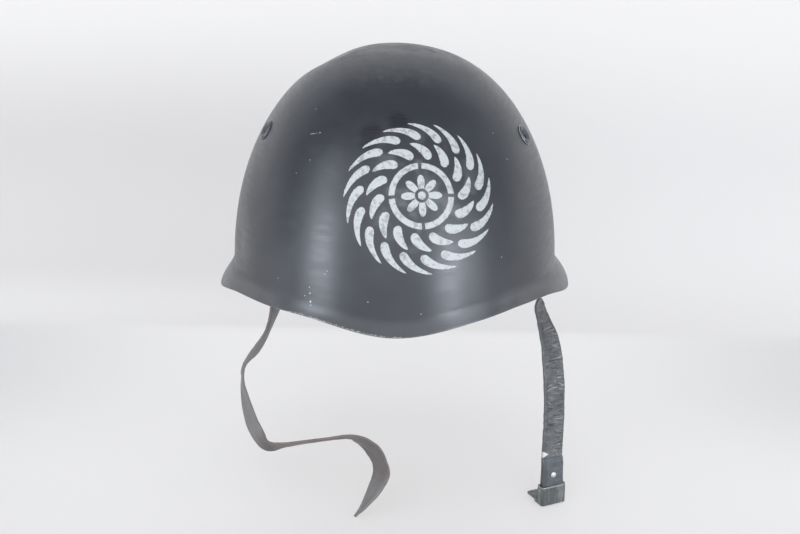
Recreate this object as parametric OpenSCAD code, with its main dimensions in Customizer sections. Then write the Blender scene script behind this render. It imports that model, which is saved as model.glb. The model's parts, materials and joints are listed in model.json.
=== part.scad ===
// Pressed steel parade helmet with its riveted liner, leather chin straps and lever buckle.
// Millimetres. X points to the wearer's left, the front faces -Y, Z is up.
// The origin is in the middle of the shell's mouth, level with the lowest points of the side rim.

/* [Shell] */
// Width of the dome where it is widest, outside
shell_width = 224; // [216:1:232]
// Length of the dome from the middle to the front, outside
front_length = 127.5; // [122:0.5:133]
// Length of the dome from the middle to the back, outside
back_length = 131; // [126:0.5:137]
// Height of the crown above the side rim
dome_height = 167; // [160:1:175]
// Height at which the dome is widest
widest_height = 22; // [19:1:25]
// Exponent of the dome's side curve: 2 is an ellipse, more is fuller
dome_fullness = 2.4; // [2.3:0.05:2.6]
// Thickness of the steel sheet
shell_wall = 1.2; // [1:0.1:1.5]

/* [Rim] */
// Height of the rim at the front above the side rim
front_rise = 11; // [9:0.5:14]
// Height of the rim over the brow, 30 degrees from the front
brow_rise = 17.5; // [15:0.5:20]
// Height of the rim at the temple, 60 degrees from the front
temple_rise = 16.5; // [14:0.5:18]
// Height of the rim from the ears round the back
back_rise = 1; // [0:0.5:3]
// How far the flare reaches out at the front
front_flare = 4; // [3:0.5:6]
// How far the flare reaches out over the brow
brow_flare = 3.5; // [2.5:0.5:5.5]
// How far the flare reaches out at the temple
temple_flare = 7; // [6:0.5:9]
// How far the flare reaches out at the side
side_flare = 10.4; // [8.4:0.5:12.4]
// How far the flare reaches out round the back
back_flare = 13; // [11:0.5:15]
// Height of the flare's bend above the rim at the front
front_bend = 7; // [5.5:0.5:8]
// Height of the flare's bend above the rim over the brow
brow_bend = 6.5; // [5:0.5:8]
// Height of the flare's bend above the rim at the temple
temple_bend = 7.5; // [6:0.5:9]
// Height of the flare's bend above the rim at the side
side_bend = 16.5; // [14:0.5:18]
// Height of the flare's bend above the rim round the back
back_bend = 14.5; // [12:0.5:16]

/* [Vents] */
// Angle of the two side vents from the front
vent_angle = 78; // [75:1:80]
// Height of the vents above the side rim
vent_height = 116; // [112:0.5:120]
// Bore of the hollow vent rivets
vent_bore_d = 6; // [5:0.2:6.4]
// Width of the vent rivets' heads
vent_head_d = 14.4; // [13:0.2:15]
// Height of the vent rivets' heads
vent_head_h = 1.3; // [1.2:0.1:1.8]
// Thickness of the vent rivets' tube
vent_tube_wall = 1; // [0.8:0.1:1.2]
// Thickness of the washer inside each vent
vent_washer_t = 0.8; // [0.6:0.1:1.2]

/* [Liner] */
// Inside width of the sweatband
head_width = 160; // [152:1:168]
// Inside length of the sweatband
head_length = 202; // [194:1:208]
// Thickness of the liner leather
leather_t = 1.6; // [1.2:0.1:2]
// Thickness of the felt strip
felt_t = 3; // [2:0.2:4]
// Thickness of the steel band
band_t = 1; // [0.8:0.1:1.2]
// Height of the steel band
band_height = 22; // [20:1:26]
// Height of the band's lower edge above the side rim
band_bottom = 24; // [22:0.5:27]
// Height of the top of the tongues above the side rim
tongue_top = 118; // [112:1:122]
// Thickness of the crown lace
lace_d = 2.4; // [2:0.1:2.8]
// Width of the hanger strips
hanger_width = 14; // [12:0.5:15]
// Thickness of the hanger strips
hanger_t = 1; // [0.8:0.1:1.2]

/* [Straps] */
// Width of both chin straps
strap_width = 17; // [15:0.5:17.5]
// Thickness of the strap leather
strap_t = 1.8; // [1.4:0.1:2]
// Thickness of the loops' wire
loop_wire_d = 2.6; // [2.2:0.1:2.8]
// Height of a loop between the middles of its two bars
loop_height = 14; // [12:0.5:16]
// Length of the doubled leather below a loop
strap_lap = 22; // [18:1:26]
// Lean of the short strap's loop away from the head, from hanging straight down
short_loop_lean = 35; // [25:1:40]
// Lean of the short strap's doubled end away from the head
short_lap_lean = 13; // [8:1:18]
// Lean of the long strap's doubled end towards the head
long_lap_lean = 8; // [4:1:12]

/* [Buckle] */
// Width of the buckle's sleeve, outside
buckle_width = 20; // [19.6:0.2:22]
// Height of the buckle's sleeve
buckle_height = 14.5; // [13.5:0.5:17]
// Thickness of the buckle's sheet
buckle_wall = 0.8; // [0.6:0.1:1]
// Thickness of the bar that the short strap is folded round
buckle_bar_d = 1.8; // [1.6:0.1:2.2]
// Length of the lever's plate from its pin
lever_length = 13.5; // [11:0.5:14]
// Turn of the buckle from facing straight ahead
buckle_turn = 30; // [25:1:35]

/* [Hidden] */
$fn = 48;

// Clearances
running_gap = 0.07;
rivet_gap = 0.1;
seat_gap = 0.2;
free_gap = 0.3;

// Shell grid
rim_steps = 72;
dome_rows = 14;
flare_rows = 5;
bend_length = 4.5;
side_fullness = 2;

// The values at the front, brow, temple, side and back, every 30 degrees round the rim
rim_rises = [front_rise, brow_rise, temple_rise, 0, back_rise, back_rise, back_rise];
rim_flares = [front_flare, brow_flare, temple_flare, side_flare, back_flare, back_flare, back_flare];
rim_bends = [front_bend, brow_bend, temple_bend, side_bend, back_bend, back_bend, back_bend];
station_step = 30;

// Liner
liner_steps = 96;
tongue_count = 8;
tongue_pitch = 360 / tongue_count;
leather_drop = 5;
notch_height = band_bottom + band_height + 3;
liner_crown = tongue_top + 14;
felt_inset = 1.5;
leather_rows = 12;
lace_drop = 8;
lace_z = tongue_top - lace_drop;
lace_swing = 3.6;
lace_steps = 80;
lace_tail = 18;
slot_length = 12;
felt_in = leather_t + seat_gap;
band_in = felt_in + felt_t + seat_gap;
band_out = band_in + band_t;
band_half_w = head_width / 2 + band_out;
band_half_l = head_length / 2 + band_out;

// Rivets
rivet_r = 1.5;
rivet_head_r = 3;
rivet_head_h = 1.2;
rivet_clench = 0.35;
hanger_rivet_low = 6.5;
hanger_rivet_pitch = 9;
bracket_rivet_up = 13;
bracket_rivet_half = 4.5;
lap_rivet_r = 1.2;
lap_rivet_head_r = 2.6;
buckle_rivet_head_r = 2.2;
buckle_rivet_up = 11.5;
through = 30;
hanger_seat = 0.6;
hanger_tab = 9;
vent_seat = 0.8;
vent_lip_r = 0.35;
vent_tube_r = vent_bore_d / 2 + vent_tube_wall;
vent_hole_r = vent_tube_r + rivet_gap;

// Strap brackets and loops
wire_r = loop_wire_d / 2;
eye_bore_r = wire_r + running_gap;
eye_r = eye_bore_r + 1;
bracket_t = 1;
bracket_width = 16;
hinge_x = band_half_w + rivet_gap + eye_r;
hinge_z = band_bottom + 1;
loop_half = strap_width / 2 + free_gap + wire_r;
fold_bore_r = wire_r + running_gap;
ply_gap = 0.3;
ply_mid = ply_gap / 2 + strap_t / 2;
ply_out = ply_gap / 2 + strap_t;

// Buckle
bar_r = buckle_bar_d / 2;
bar_bore_r = bar_r + running_gap;
buckle_depth = 2 * (bar_bore_r + strap_t + free_gap + buckle_wall);
bar_height = buckle_height - bar_bore_r - strap_t - 0.6;
buckle_corner = 2;
buckle_lap = 24;
lever_pin_r = 0.7;
lever_bore_r = lever_pin_r + 0.05;
lever_barrel_r = 1.45;
ear_r = 1.6;
ear_t = 1.2;
lever_y = buckle_depth / 2 + lever_barrel_r + 0.25;
lever_z = ear_r;
lever_width = buckle_width - 2 * ear_t - 1.4;
lever_plate_t = 1;
lever_lip = 0.9;

// Curve of the rim: a Catmull-Rom curve through the seven values, mirrored left to right
function mirrored(i, values) = values[6 - abs(6 - ((i % 12) + 12) % 12)];
function round_rim(values, angle) =
    let (turn = ((angle % 360) + 360) % 360 / station_step, i = floor(turn), u = turn - i,
         a = mirrored(i - 1, values), b = mirrored(i, values),
         c = mirrored(i + 1, values), d = mirrored(i + 2, values))
    b + 0.5 * u * (c - a + u * (2 * a - 5 * b + 4 * c - d + u * (3 * b - a - 3 * c + d)));

// Shape of the dome
function dome_half_length(angle) = cos(angle) > 0 ? front_length : back_length;
function dome_span(z) = z <= widest_height ? 1 :
    pow(1 - pow((z - widest_height) / (dome_height - widest_height), side_fullness), 1 / dome_fullness);
function dome_point(angle, z) =
    [shell_width / 2 * sin(angle) * dome_span(z), -dome_half_length(angle) * cos(angle) * dome_span(z), z];
function unit(v) = v / norm(v);
function dome_normal(angle, z) =
    let (p = dome_point(angle, z), a = shell_width / 2, b = dome_half_length(angle), s = dome_span(z),
         side = dome_fullness * pow(s, dome_fullness - 2), up = side_fullness
             * pow((z - widest_height) / (dome_height - widest_height), side_fullness - 1)
             / (dome_height - widest_height))
    unit([side * p[0] / (a * a), side * p[1] / (b * b), up]);

// Rows of the shell from just under the crown down the dome, then over the bend to the rim
function flare_start(angle) = round_rim(rim_rises, angle) + round_rim(rim_bends, angle) + bend_length;
function dome_row(angle, row) =
    let (start = flare_start(angle), rise = dome_height - widest_height,
         last = acos(pow(max(0, (start - widest_height) / rise), side_fullness / 2)),
         z = widest_height + rise * pow(cos(last * row / dome_rows), 2 / side_fullness))
    dome_point(angle, row == dome_rows ? start : z);
function flare_row(angle, row) =
    let (top = dome_point(angle, flare_start(angle)), u = row / flare_rows,
         out = unit([sin(angle) / (shell_width / 2), -cos(angle) / dome_half_length(angle), 0]),
         bend = top - [0, 0, bend_length],
         edge = [top[0], top[1], round_rim(rim_rises, angle)] + out * round_rim(rim_flares, angle))
    (1 - u) * (1 - u) * top + 2 * u * (1 - u) * bend + u * u * edge;
function shell_row(row) = [for (j = [0:rim_steps - 1]) let (angle = 360 * j / rim_steps)
    row <= dome_rows ? dome_row(angle, row) : flare_row(angle, row - dome_rows)];

// Outward direction at each point of a grid of rings
function grid_normal(rows, i, j) =
    let (n = len(rows[0]), last = len(rows) - 1,
         down = rows[min(i + 1, last)][j] - rows[max(i - 1, 0)][j],
         round = rows[i][(j + 1) % n] - rows[i][(j + n - 1) % n])
    unit(cross(down, round));
function shifted(rows, distance) = [for (i = [0:len(rows) - 1])
    [for (j = [0:len(rows[0]) - 1]) rows[i][j] + distance * grid_normal(rows, i, j)]];
function flat(lists) = [for (list = lists) for (item = list) item];

// A closed sheet between two grids of rings, with a cap over the top if an apex is given
module sheet(outer, inner, apex = []) {
    rows = len(outer);
    n = len(outer[0]);
    first_in = rows * n;
    top_out = 2 * rows * n;
    points = concat(flat(outer), flat(inner), apex);
    walls = [for (i = [0:rows - 2]) for (j = [0:n - 1]) let (k = (j + 1) % n,
        a = i * n + j, b = i * n + k, c = (i + 1) * n + k, d = (i + 1) * n + j, m = first_in)
        each [[a, b, c], [a, c, d], [m + a, m + c, m + b], [m + a, m + d, m + c]]];
    lower = [for (j = [0:n - 1]) let (k = (j + 1) % n, a = (rows - 1) * n + j, b = (rows - 1) * n + k)
        each [[a, b, first_in + b], [a, first_in + b, first_in + a]]];
    upper = len(apex) == 2
        ? [for (j = [0:n - 1]) let (k = (j + 1) % n)
            each [[top_out, k, j], [top_out + 1, first_in + j, first_in + k]]]
        : [for (j = [0:n - 1]) let (k = (j + 1) % n)
            each [[j, first_in + j, first_in + k], [j, first_in + k, k]]];
    polyhedron(points, concat(walls, lower, upper), convexity = 10);
}

// Frame of a vent: its origin on the outside of the dome, its Z axis square to the sheet
module at_vent(angle) {
    n = dome_normal(angle, vent_height);
    translate(dome_point(angle, vent_height)) rotate([0, acos(n[2]), atan2(n[1], n[0])]) children();
}

// Frame of a hanger: the same origin, X level and outwards, Z up
module at_hanger(angle) {
    n = dome_normal(angle, vent_height);
    translate(dome_point(angle, vent_height)) rotate([0, 0, atan2(n[1], n[0])]) children();
}

module shell() {
    rows = [for (row = [1:dome_rows + flare_rows]) shell_row(row)];
    color([0.17, 0.18, 0.19])
    difference() {
        sheet(rows, shifted(rows, -shell_wall), [[0, 0, dome_height], [0, 0, dome_height - shell_wall]]);
        for (angle = [vent_angle, -vent_angle, 180])
            at_vent(angle) cylinder(h = 4 * shell_wall, r = vent_hole_r, center = true);
    }
}

// Hollow rivet: a domed, dished head outside, the tube, and the rolled edge on the washer inside
module vent_rivet(angle) {
    grip = shell_wall + vent_seat + hanger_t + vent_washer_t + 3 * rivet_gap;
    bore = vent_bore_d / 2;
    head = vent_head_d / 2;
    low = -grip - vent_tube_wall;
    rolled = vent_tube_r + 1.6;
    lip = [for (a = [0:22.5:180])
        [head - 2 * vent_lip_r + vent_lip_r * cos(a), vent_head_h - vent_lip_r + vent_lip_r * sin(a)]];
    color([0.2, 0.21, 0.22])
    at_vent(angle) rotate_extrude()
        polygon(concat([[bore, low], [rolled, low], [rolled, -grip], [vent_tube_r, -grip],
            [vent_tube_r, 0.05], [head, 0.05], [head, 0.3]], lip,
            [[bore + 2.2, 0.5], [bore + 1.3, 0.3], [bore + 0.7, -0.1], [bore + 0.2, -0.6], [bore, -0.9]]));
}

module vent_washer(angle) {
    top = -shell_wall - vent_seat - hanger_t - 2 * rivet_gap;
    color([0.45, 0.46, 0.44])
    at_vent(angle) translate([0, 0, top - vent_washer_t]) difference() {
        cylinder(h = vent_washer_t, r = vent_tube_r + 2.6);
        translate([0, 0, -1]) cylinder(h = vent_washer_t + 2, r = vent_hole_r);
    }
}

// Distance from the vent to the outside of the band, measured level along the hanger's plane
function band_reach(angle) =
    let (p = dome_point(angle, vent_height), n = dome_normal(angle, vent_height), d = unit([n[0], n[1]]),
         a2 = pow(band_half_w, 2), b2 = pow(band_half_l, 2),
         qa = d[0] * d[0] / a2 + d[1] * d[1] / b2,
         qb = 2 * (p[0] * d[0] / a2 + p[1] * d[1] / b2),
         qc = p[0] * p[0] / a2 + p[1] * p[1] / b2 - 1)
    (-qb + sqrt(qb * qb - 4 * qa * qc)) / (2 * qa);
function hanger_line(angle) =
    let (n = dome_normal(angle, vent_height), c = sqrt(1 - n[2] * n[2]), s = n[2],
         depth = shell_wall + vent_seat + hanger_t / 2,
         middle = [-depth * c, -depth * s], down = [s, -c],
         foot = band_reach(angle) + hanger_seat + hanger_t / 2,
         band_top = band_bottom + band_height - vent_height)
    [middle - hanger_tab * down, middle + hanger_tab * down, [foot, band_top + 4],
     [foot, band_top - band_height + 3]];

// Side of a bent strip that follows a line of points in a plane
function left_of(line, i) =
    let (n = len(line), a = unit(line[min(i + 1, n - 1)] - line[min(i, n - 2)]),
         b = unit(line[max(i, 1)] - line[max(i - 1, 0)]), t = unit(a + b), k = 1 / max(0.5, t * a))
    [-t[1], t[0]] * k;
function strip_outline(line, half) = concat(
    [for (i = [0:len(line) - 1]) line[i] + half * left_of(line, i)],
    [for (i = [len(line) - 1:-1:0]) line[i] - half * left_of(line, i)]);
hanger_rivet_heights = [for (up = [0, hanger_rivet_pitch]) band_bottom + hanger_rivet_low + up];

module hanger(angle) {
    tilt = acos(dome_normal(angle, vent_height)[2]);
    color([0.36, 0.38, 0.35])
    at_hanger(angle) difference() {
        rotate([90, 0, 0]) linear_extrude(height = hanger_width, center = true)
            polygon(strip_outline(hanger_line(angle), hanger_t / 2));
        rotate([0, tilt, 0]) cylinder(h = 12, r = vent_hole_r, center = true);
        for (z = hanger_rivet_heights)
            translate([band_reach(angle), 0, z - vent_height]) rotate([0, 90, 0])
                cylinder(h = 12, r = rivet_r + rivet_gap, center = true);
    }
}

// The two rivets that hold a hanger to the band, with Z pointing outwards through the strip
module hanger_rivet_places(angle) {
    for (z = hanger_rivet_heights)
        at_hanger(angle) translate([band_reach(angle), 0, z - vent_height]) rotate([0, 90, 0]) children();
}

// Rivet with a domed head above its grip and a flat clenched head below
module rivet(above, below, shank = rivet_r, head = rivet_head_r) {
    rise = [for (a = [0:15:90]) [head * cos(a), above + rivet_head_h * sin(a)]];
    rotate_extrude()
        polygon(concat([[0, below - 0.6], [head * 0.8, below - 0.6], [head * 0.8, below], [shank, below],
            [shank, above]], rise));
}

module hanger_rivets() {
    color([0.5, 0.52, 0.48])
    for (angle = [vent_angle, -vent_angle, 180])
        hanger_rivet_places(angle)
            rivet(hanger_seat + hanger_t + rivet_gap, -band_t - rivet_clench);
}

// Oval ring of the liner, between two distances outside the wearer's head
function liner_oval(offset) = [for (j = [0:liner_steps - 1]) let (angle = 360 * j / liner_steps)
    [(head_width / 2 + offset) * sin(angle), -(head_length / 2 + offset) * cos(angle)]];
module liner_ring(inside, outside, bottom, height) {
    translate([0, 0, bottom]) linear_extrude(height = height) difference() {
        polygon(liner_oval(outside));
        polygon(liner_oval(inside));
    }
}

// Frame on the oval at an angle and height, with Z pointing outwards
module at_oval(angle, offset, z) {
    a = head_width / 2;
    b = head_length / 2;
    translate([(a + offset) * sin(angle), -(b + offset) * cos(angle), z])
        rotate([0, 90, atan2(-cos(angle) / b, sin(angle) / a)]) children();
}
liner_rivet_angles = [for (k = [0:tongue_count - 1]) (k + 0.5) * tongue_pitch];
liner_rivet_z = band_bottom + band_height / 2;

module liner_rivet_holes() {
    for (angle = liner_rivet_angles)
        at_oval(angle, 0, liner_rivet_z) cylinder(h = through, r = rivet_r + rivet_gap, center = true);
}

module liner_rivets() {
    color([0.62, 0.55, 0.36])
    for (angle = liner_rivet_angles)
        at_oval(angle, 0, liner_rivet_z) rotate([180, 0, 0]) rivet(rivet_gap, -band_out - rivet_gap);
}

bracket_rivet_places = [-bracket_rivet_half, bracket_rivet_half];
bracket_rivet_z = band_bottom + bracket_rivet_up;

// Frame of a strap bracket: on the band's outside, Z pointing outwards along X
module at_bracket(side, y, z) {
    translate([side * band_half_w, y, z]) rotate([0, side * 90, 0]) children();
}

module liner_band() {
    color([0.4, 0.42, 0.4])
    difference() {
        liner_ring(band_in, band_out, band_bottom, band_height);
        for (angle = [vent_angle, -vent_angle, 180])
            hanger_rivet_places(angle) cylinder(h = 8, r = rivet_r + rivet_gap, center = true);
        for (side = [1, -1], y = bracket_rivet_places)
            at_bracket(side, y, bracket_rivet_z) cylinder(h = 8, r = rivet_r + rivet_gap, center = true);
        liner_rivet_holes();
    }
}

module felt_strip() {
    color([0.42, 0.42, 0.36])
    difference() {
        liner_ring(felt_in, felt_in + felt_t, band_bottom + felt_inset, band_height - 2 * felt_inset);
        liner_rivet_holes();
        for (angle = [vent_angle, -vent_angle, 180])
            hanger_rivet_places(angle) cylinder(h = 2 * (band_t + 1.4), r = rivet_head_r, center = true);
        for (side = [1, -1], y = bracket_rivet_places)
            at_bracket(side, y, bracket_rivet_z)
                cylinder(h = 2 * (band_t + 1.4), r = rivet_head_r, center = true);
    }
}

// Leather: a sweatband that rises into eight tongues, each narrowing to a rounded tip
function liner_span(z) = z <= notch_height ? 1 :
    sqrt(1 - pow((z - notch_height) / (liner_crown - notch_height), 2));
function liner_point(angle, z) =
    [head_width / 2 * sin(angle) * liner_span(z), -head_length / 2 * cos(angle) * liner_span(z), z];
function tongue_reach(angle) =
    let (off = abs((angle / tongue_pitch) % 1 - 0.5) * 2, flank = (1 - off) / 0.55)
    flank >= 1 ? 1 : 1 - pow(1 - flank, 1.5);
function leather_edge(angle) =
    notch_height + 0.5 + (tongue_top - notch_height - 0.5) * tongue_reach(angle);
function leather_row(row) = [for (j = [0:liner_steps - 1]) let (angle = 360 * j / liner_steps)
    liner_point(angle, row == 0 ? band_bottom - leather_drop
        : notch_height + (leather_edge(angle) - notch_height) * (row - 1) / (leather_rows - 1))];
function liner_normal(angle, z) =
    let (p = liner_point(angle, z), a = head_width / 2, b = head_length / 2, c = liner_crown - notch_height)
    unit([p[0] / (a * a), p[1] / (b * b), (z - notch_height) / (c * c)]);

module lace_slot(angle) {
    n = liner_normal(angle, lace_z);
    translate(liner_point(angle, lace_z)) rotate([0, acos(n[2]), atan2(n[1], n[0])])
        cube([lace_d + 1.2, slot_length, 12], center = true);
}

module liner_leather() {
    inside = [for (row = [leather_rows:-1:0]) leather_row(row)];
    color([0.35, 0.22, 0.14])
    difference() {
        sheet(shifted(inside, leather_t), inside);
        for (angle = liner_rivet_angles) lace_slot(angle);
        liner_rivet_holes();
    }
}

// Crown lace: it passes through each tongue in turn, from inside to outside and back
function lace_point(angle) =
    let (s = sin(tongue_count / 2 * (angle - tongue_pitch / 2)))
    liner_point(angle, lace_z)
        + liner_normal(angle, lace_z) * (leather_t / 2 - lace_swing * s / sqrt(s * s + 0.15));
function tube_ring(centre, along, r, sides) =
    let (side = unit(cross(along, [0.01, 0.02, 1])), up = cross(side, along))
    [for (k = [0:sides - 1]) centre + r * (cos(360 * k / sides) * side + sin(360 * k / sides) * up)];

// Tube along a list of points, closed into a ring or with flat ends
module tube(line, r, sides = 8, closed = false) {
    n = len(line);
    rings = [for (i = [0:n - 1]) let (
        before = closed ? line[(i + n - 1) % n] : line[max(i - 1, 0)],
        after = closed ? line[(i + 1) % n] : line[min(i + 1, n - 1)])
        tube_ring(line[i], unit(after - before), r, sides)];
    skin = [for (i = [0:(closed ? n - 1 : n - 2)]) for (k = [0:sides - 1]) let (m = (k + 1) % sides,
        a = i * sides + k, b = i * sides + m, c = ((i + 1) % n) * sides + m, d = ((i + 1) % n) * sides + k)
        each [[a, b, c], [a, c, d]]];
    ends = closed ? [] : [[for (k = [sides - 1:-1:0]) k], [for (k = [0:sides - 1]) (n - 1) * sides + k]];
    polyhedron(flat(rings), concat(skin, ends), convexity = 10);
}

module crown_lace() {
    knot = lace_point(180);
    color([0.24, 0.2, 0.16]) {
        tube([for (i = [0:lace_steps - 1]) lace_point(360 * i / lace_steps)], lace_d / 2, 8, true);
        translate(knot) sphere(r = lace_d * 1.25, $fn = 12);
        for (side = [1, -1])
            tube([for (p = [[0, 0, 0], [0.17, 0.14, -0.14], [0.22, 0.28, -0.39], [0.21, 0.44, -0.69],
                [0.18, 0.58, -1]]) knot + lace_tail * [side * p[0], p[1], p[2]]], lace_d / 2 * 0.9);
    }
}

// Strap bracket: a plate on the band, rolled at its foot into the eye of the loop's hinge
module bracket(side) {
    top = band_bottom + band_height - 3;
    low = hinge_z;
    color([0.4, 0.42, 0.4])
    difference() {
        union() {
            translate([side * (band_half_w + rivet_gap + bracket_t / 2), 0, (top + low) / 2])
                cube([bracket_t, bracket_width, top - low], center = true);
            translate([side * hinge_x, 0, hinge_z]) rotate([90, 0, 0])
                cylinder(h = bracket_width, r = eye_r, center = true);
        }
        translate([side * hinge_x, 0, hinge_z]) rotate([90, 0, 0])
            cylinder(h = bracket_width + 2, r = eye_bore_r, center = true);
        for (y = bracket_rivet_places)
            at_bracket(side, y, bracket_rivet_z) cylinder(h = 8, r = rivet_r + rivet_gap, center = true);
    }
}

module bracket_rivets() {
    color([0.5, 0.52, 0.48])
    for (side = [1, -1], y = bracket_rivet_places)
        at_bracket(side, y, bracket_rivet_z)
            rivet(rivet_gap + bracket_t + rivet_gap, -band_t - rivet_clench);
}

// Frame of a loop at rest: its origin on the hinge, the loop hanging down its -Z axis
module at_loop(side, lean) {
    translate([side * hinge_x, 0, hinge_z]) rotate([0, -side * lean, 0]) children();
}
function loop_bar(side, lean) =
    [side * (hinge_x + loop_height * sin(lean)), 0, hinge_z - loop_height * cos(lean)];

module strap_loop(side, lean) {
    color([0.45, 0.47, 0.45])
    at_loop(side, lean) {
        for (z = [0, -loop_height]) translate([0, 0, z]) rotate([90, 0, 0])
            cylinder(h = 2 * loop_half, r = wire_r, center = true);
        for (y = [-loop_half, loop_half]) {
            translate([0, y, -loop_height]) cylinder(h = loop_height, r = wire_r);
            for (z = [0, -loop_height]) translate([0, y, z]) sphere(r = wire_r);
        }
    }
}

// Outline of leather folded round a bar at the origin, its two plies running down the Y axis
module fold_outline(bore, lap) {
    outer = bore + strap_t;
    difference() {
        union() {
            circle(r = outer);
            polygon([[-outer * 0.94, -outer * 0.34], [-ply_out, -outer * 2.6], [-ply_out, -lap],
                [ply_out, -lap], [ply_out, -outer * 2.6], [outer * 0.94, -outer * 0.34]]);
        }
        circle(r = bore);
        translate([-ply_gap / 2, -lap - 1]) square([ply_gap, lap + 1]);
    }
}

// Points along a strap: place in its first three numbers, near edge's direction in the last three
function blended(route, s) =
    let (n = len(route), i = min(floor(s), n - 2), u = s - i,
         a = route[max(i - 1, 0)], b = route[i], c = route[i + 1], d = route[min(i + 2, n - 1)])
    b + 0.5 * u * (c - a + u * (2 * a - 5 * b + 4 * c - d + u * (3 * b - a - 3 * c + d)));
function place(v) = [v[0], v[1], v[2]];
function strap_section(route, s, half) =
    let (here = blended(route, s), step = 0.05,
         along = unit(place(blended(route, min(s + step, len(route) - 1)))
             - place(blended(route, max(s - step, 0)))),
         raw = [here[3], here[4], here[5]], edge = unit(raw - along * (raw * along)),
         face = cross(along, edge))
    [for (corner = [[1, 1], [1, -1], [-1, -1], [-1, 1]])
        place(here) + corner[0] * half * edge + corner[1] * strap_t / 2 * face];

// Flat strap along a route, with a pointed tip where tip_stations is not zero
module strap_ribbon(route, tip_stations) {
    per_station = 3;
    n = (len(route) - 1) * per_station;
    last = len(route) - 1;
    half = strap_width / 2;
    rings = [for (i = [0:n]) let (s = i / per_station, left = last - s)
        strap_section(route, s, left >= tip_stations ? half
            : half * (0.12 + 0.88 * sqrt(1 - pow(1 - left / tip_stations, 2))))];
    skin = [for (i = [0:n - 1]) for (k = [0:3]) let (m = (k + 1) % 4,
        a = i * 4 + k, b = i * 4 + m, c = (i + 1) * 4 + m, d = (i + 1) * 4 + k)
        each [[a, b, c], [a, c, d]]];
    polyhedron(flat(rings), concat(skin, [[2, 1, 0], [3, 2, 0], [4 * n, 4 * n + 1, 4 * n + 2],
        [4 * n, 4 * n + 2, 4 * n + 3]]), convexity = 10);
}

// The long strap's route, from its hinge, on the wearer's right
long_route = [
    [4.5, -1, -45, -3, -8, 0], [-1, -1, -63, -1, -8, 2], [-10, -2, -79, -1, -7, 4],
    [-18, -3, -90.5, 0, -8, 3], [-19.5, -3.5, -100, 1, -8, 3], [-18.5, -4.5, -111, 2.5, -7.5, 3],
    [-15.5, -6.5, -125, 4.5, -7, 3], [-10.5, -9, -138.5, 5, -6, 4], [-2, -16, -146, 3, -6, 6],
    [11, -22, -143.5, 0.5, -7.5, 4.5], [32, -32, -135.5, 0.5, -7.5, 4], [54.5, -43, -127, 0.5, -7.5, 4],
    [63, -46, -126.5, 1, -7, 5], [71, -49, -129, 2.5, -6, 6], [77, -51, -134, 4, -5, 5.5],
    [81, -52, -142, 5, -6, 4], [82, -52, -149, 6, -6, 3], [79.5, -52, -157, 5, -6.5, 2.5],
    [75.5, -52, -165, 4, -7, 2.5], [69, -52, -176, 2, -7.5, 3], [63.5, -52, -184, 0.5, -7.5, 4]
];
// The short strap's route, from its hinge, on the wearer's left
short_route = [
    [13.7, -1, -39.5, -2.6, -7.6, 0], [16, -1, -48, -3.3, -7.5, 0], [18.5, -2, -55, -4.5, -7, 0],
    [21, -4, -62, -6, -6, 0], [23, -6, -69, -6.5, -5.5, 0], [24.5, -8.5, -80, -7.3, -4.5, 0],
    [26, -12, -96, -7.4, -4.3, 0], [26.6, -17, -120, -7.4, -4.3, 0]
];
buckle_place = [26.4, -22.8, -184];

function hinge(side) = [side * hinge_x, 0, hinge_z];
function moved(route, start) = [for (p = route) p + [start[0], start[1], start[2], 0, 0, 0]];

// Start of a strap inside its doubled end: side -1 or 1, lean of the doubled end outwards
function lap_point(side, lean, bar, down, across) =
    bar + [side * (down * sin(lean) + across * cos(lean)), 0, -down * cos(lean) + across * sin(lean)];
function lap_start(side, lean, bar) = [for (down = [strap_lap - 5, strap_lap])
    let (p = lap_point(side, lean, bar, down, ply_mid)) [p[0], p[1], p[2], 0, -8, 0]];

module strap_fold(side, lean, bar) {
    translate(bar) rotate([0, -side * lean, 0]) rotate([90, 0, 0])
        linear_extrude(height = strap_width, center = true)
            fold_outline(fold_bore_r, strap_lap);
}

module lap_rivet(side, lean, bar) {
    p = lap_point(side, lean, bar, strap_lap * 0.66, 0);
    translate(p) rotate([0, side * 90 - side * lean, 0])
        rivet(ply_out + rivet_gap, -ply_out - rivet_gap, lap_rivet_r, lap_rivet_head_r);
}
module lap_rivet_hole(side, lean, bar) {
    p = lap_point(side, lean, bar, strap_lap * 0.66, 0);
    translate(p) rotate([0, side * 90 - side * lean, 0])
        cylinder(h = through, r = lap_rivet_r + rivet_gap, center = true);
}

long_bar = loop_bar(-1, 0);
short_bar = loop_bar(1, short_loop_lean);

module long_strap() {
    route = concat(lap_start(-1, -long_lap_lean, long_bar), moved(long_route, hinge(-1)));
    color([0.33, 0.29, 0.27])
    difference() {
        union() {
            strap_fold(-1, -long_lap_lean, long_bar);
            strap_ribbon(route, 3.2);
        }
        lap_rivet_hole(-1, -long_lap_lean, long_bar);
    }
}
module long_strap_rivet() {
    color([0.5, 0.52, 0.48]) lap_rivet(-1, -long_lap_lean, long_bar);
}

// Frame of the buckle: its origin under the middle of the sleeve, X across it, Y to its back
module at_buckle() {
    translate(hinge(1) + buckle_place) rotate([0, 0, buckle_turn]) children();
}
function buckle_point(x, y, z) = hinge(1) + buckle_place
    + [x * cos(buckle_turn) - y * sin(buckle_turn), x * sin(buckle_turn) + y * cos(buckle_turn), z];
function buckle_top(z) = let (p = buckle_point(0, ply_mid, z))
    [p[0], p[1], p[2], -cos(buckle_turn), -sin(buckle_turn), 0];

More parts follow.
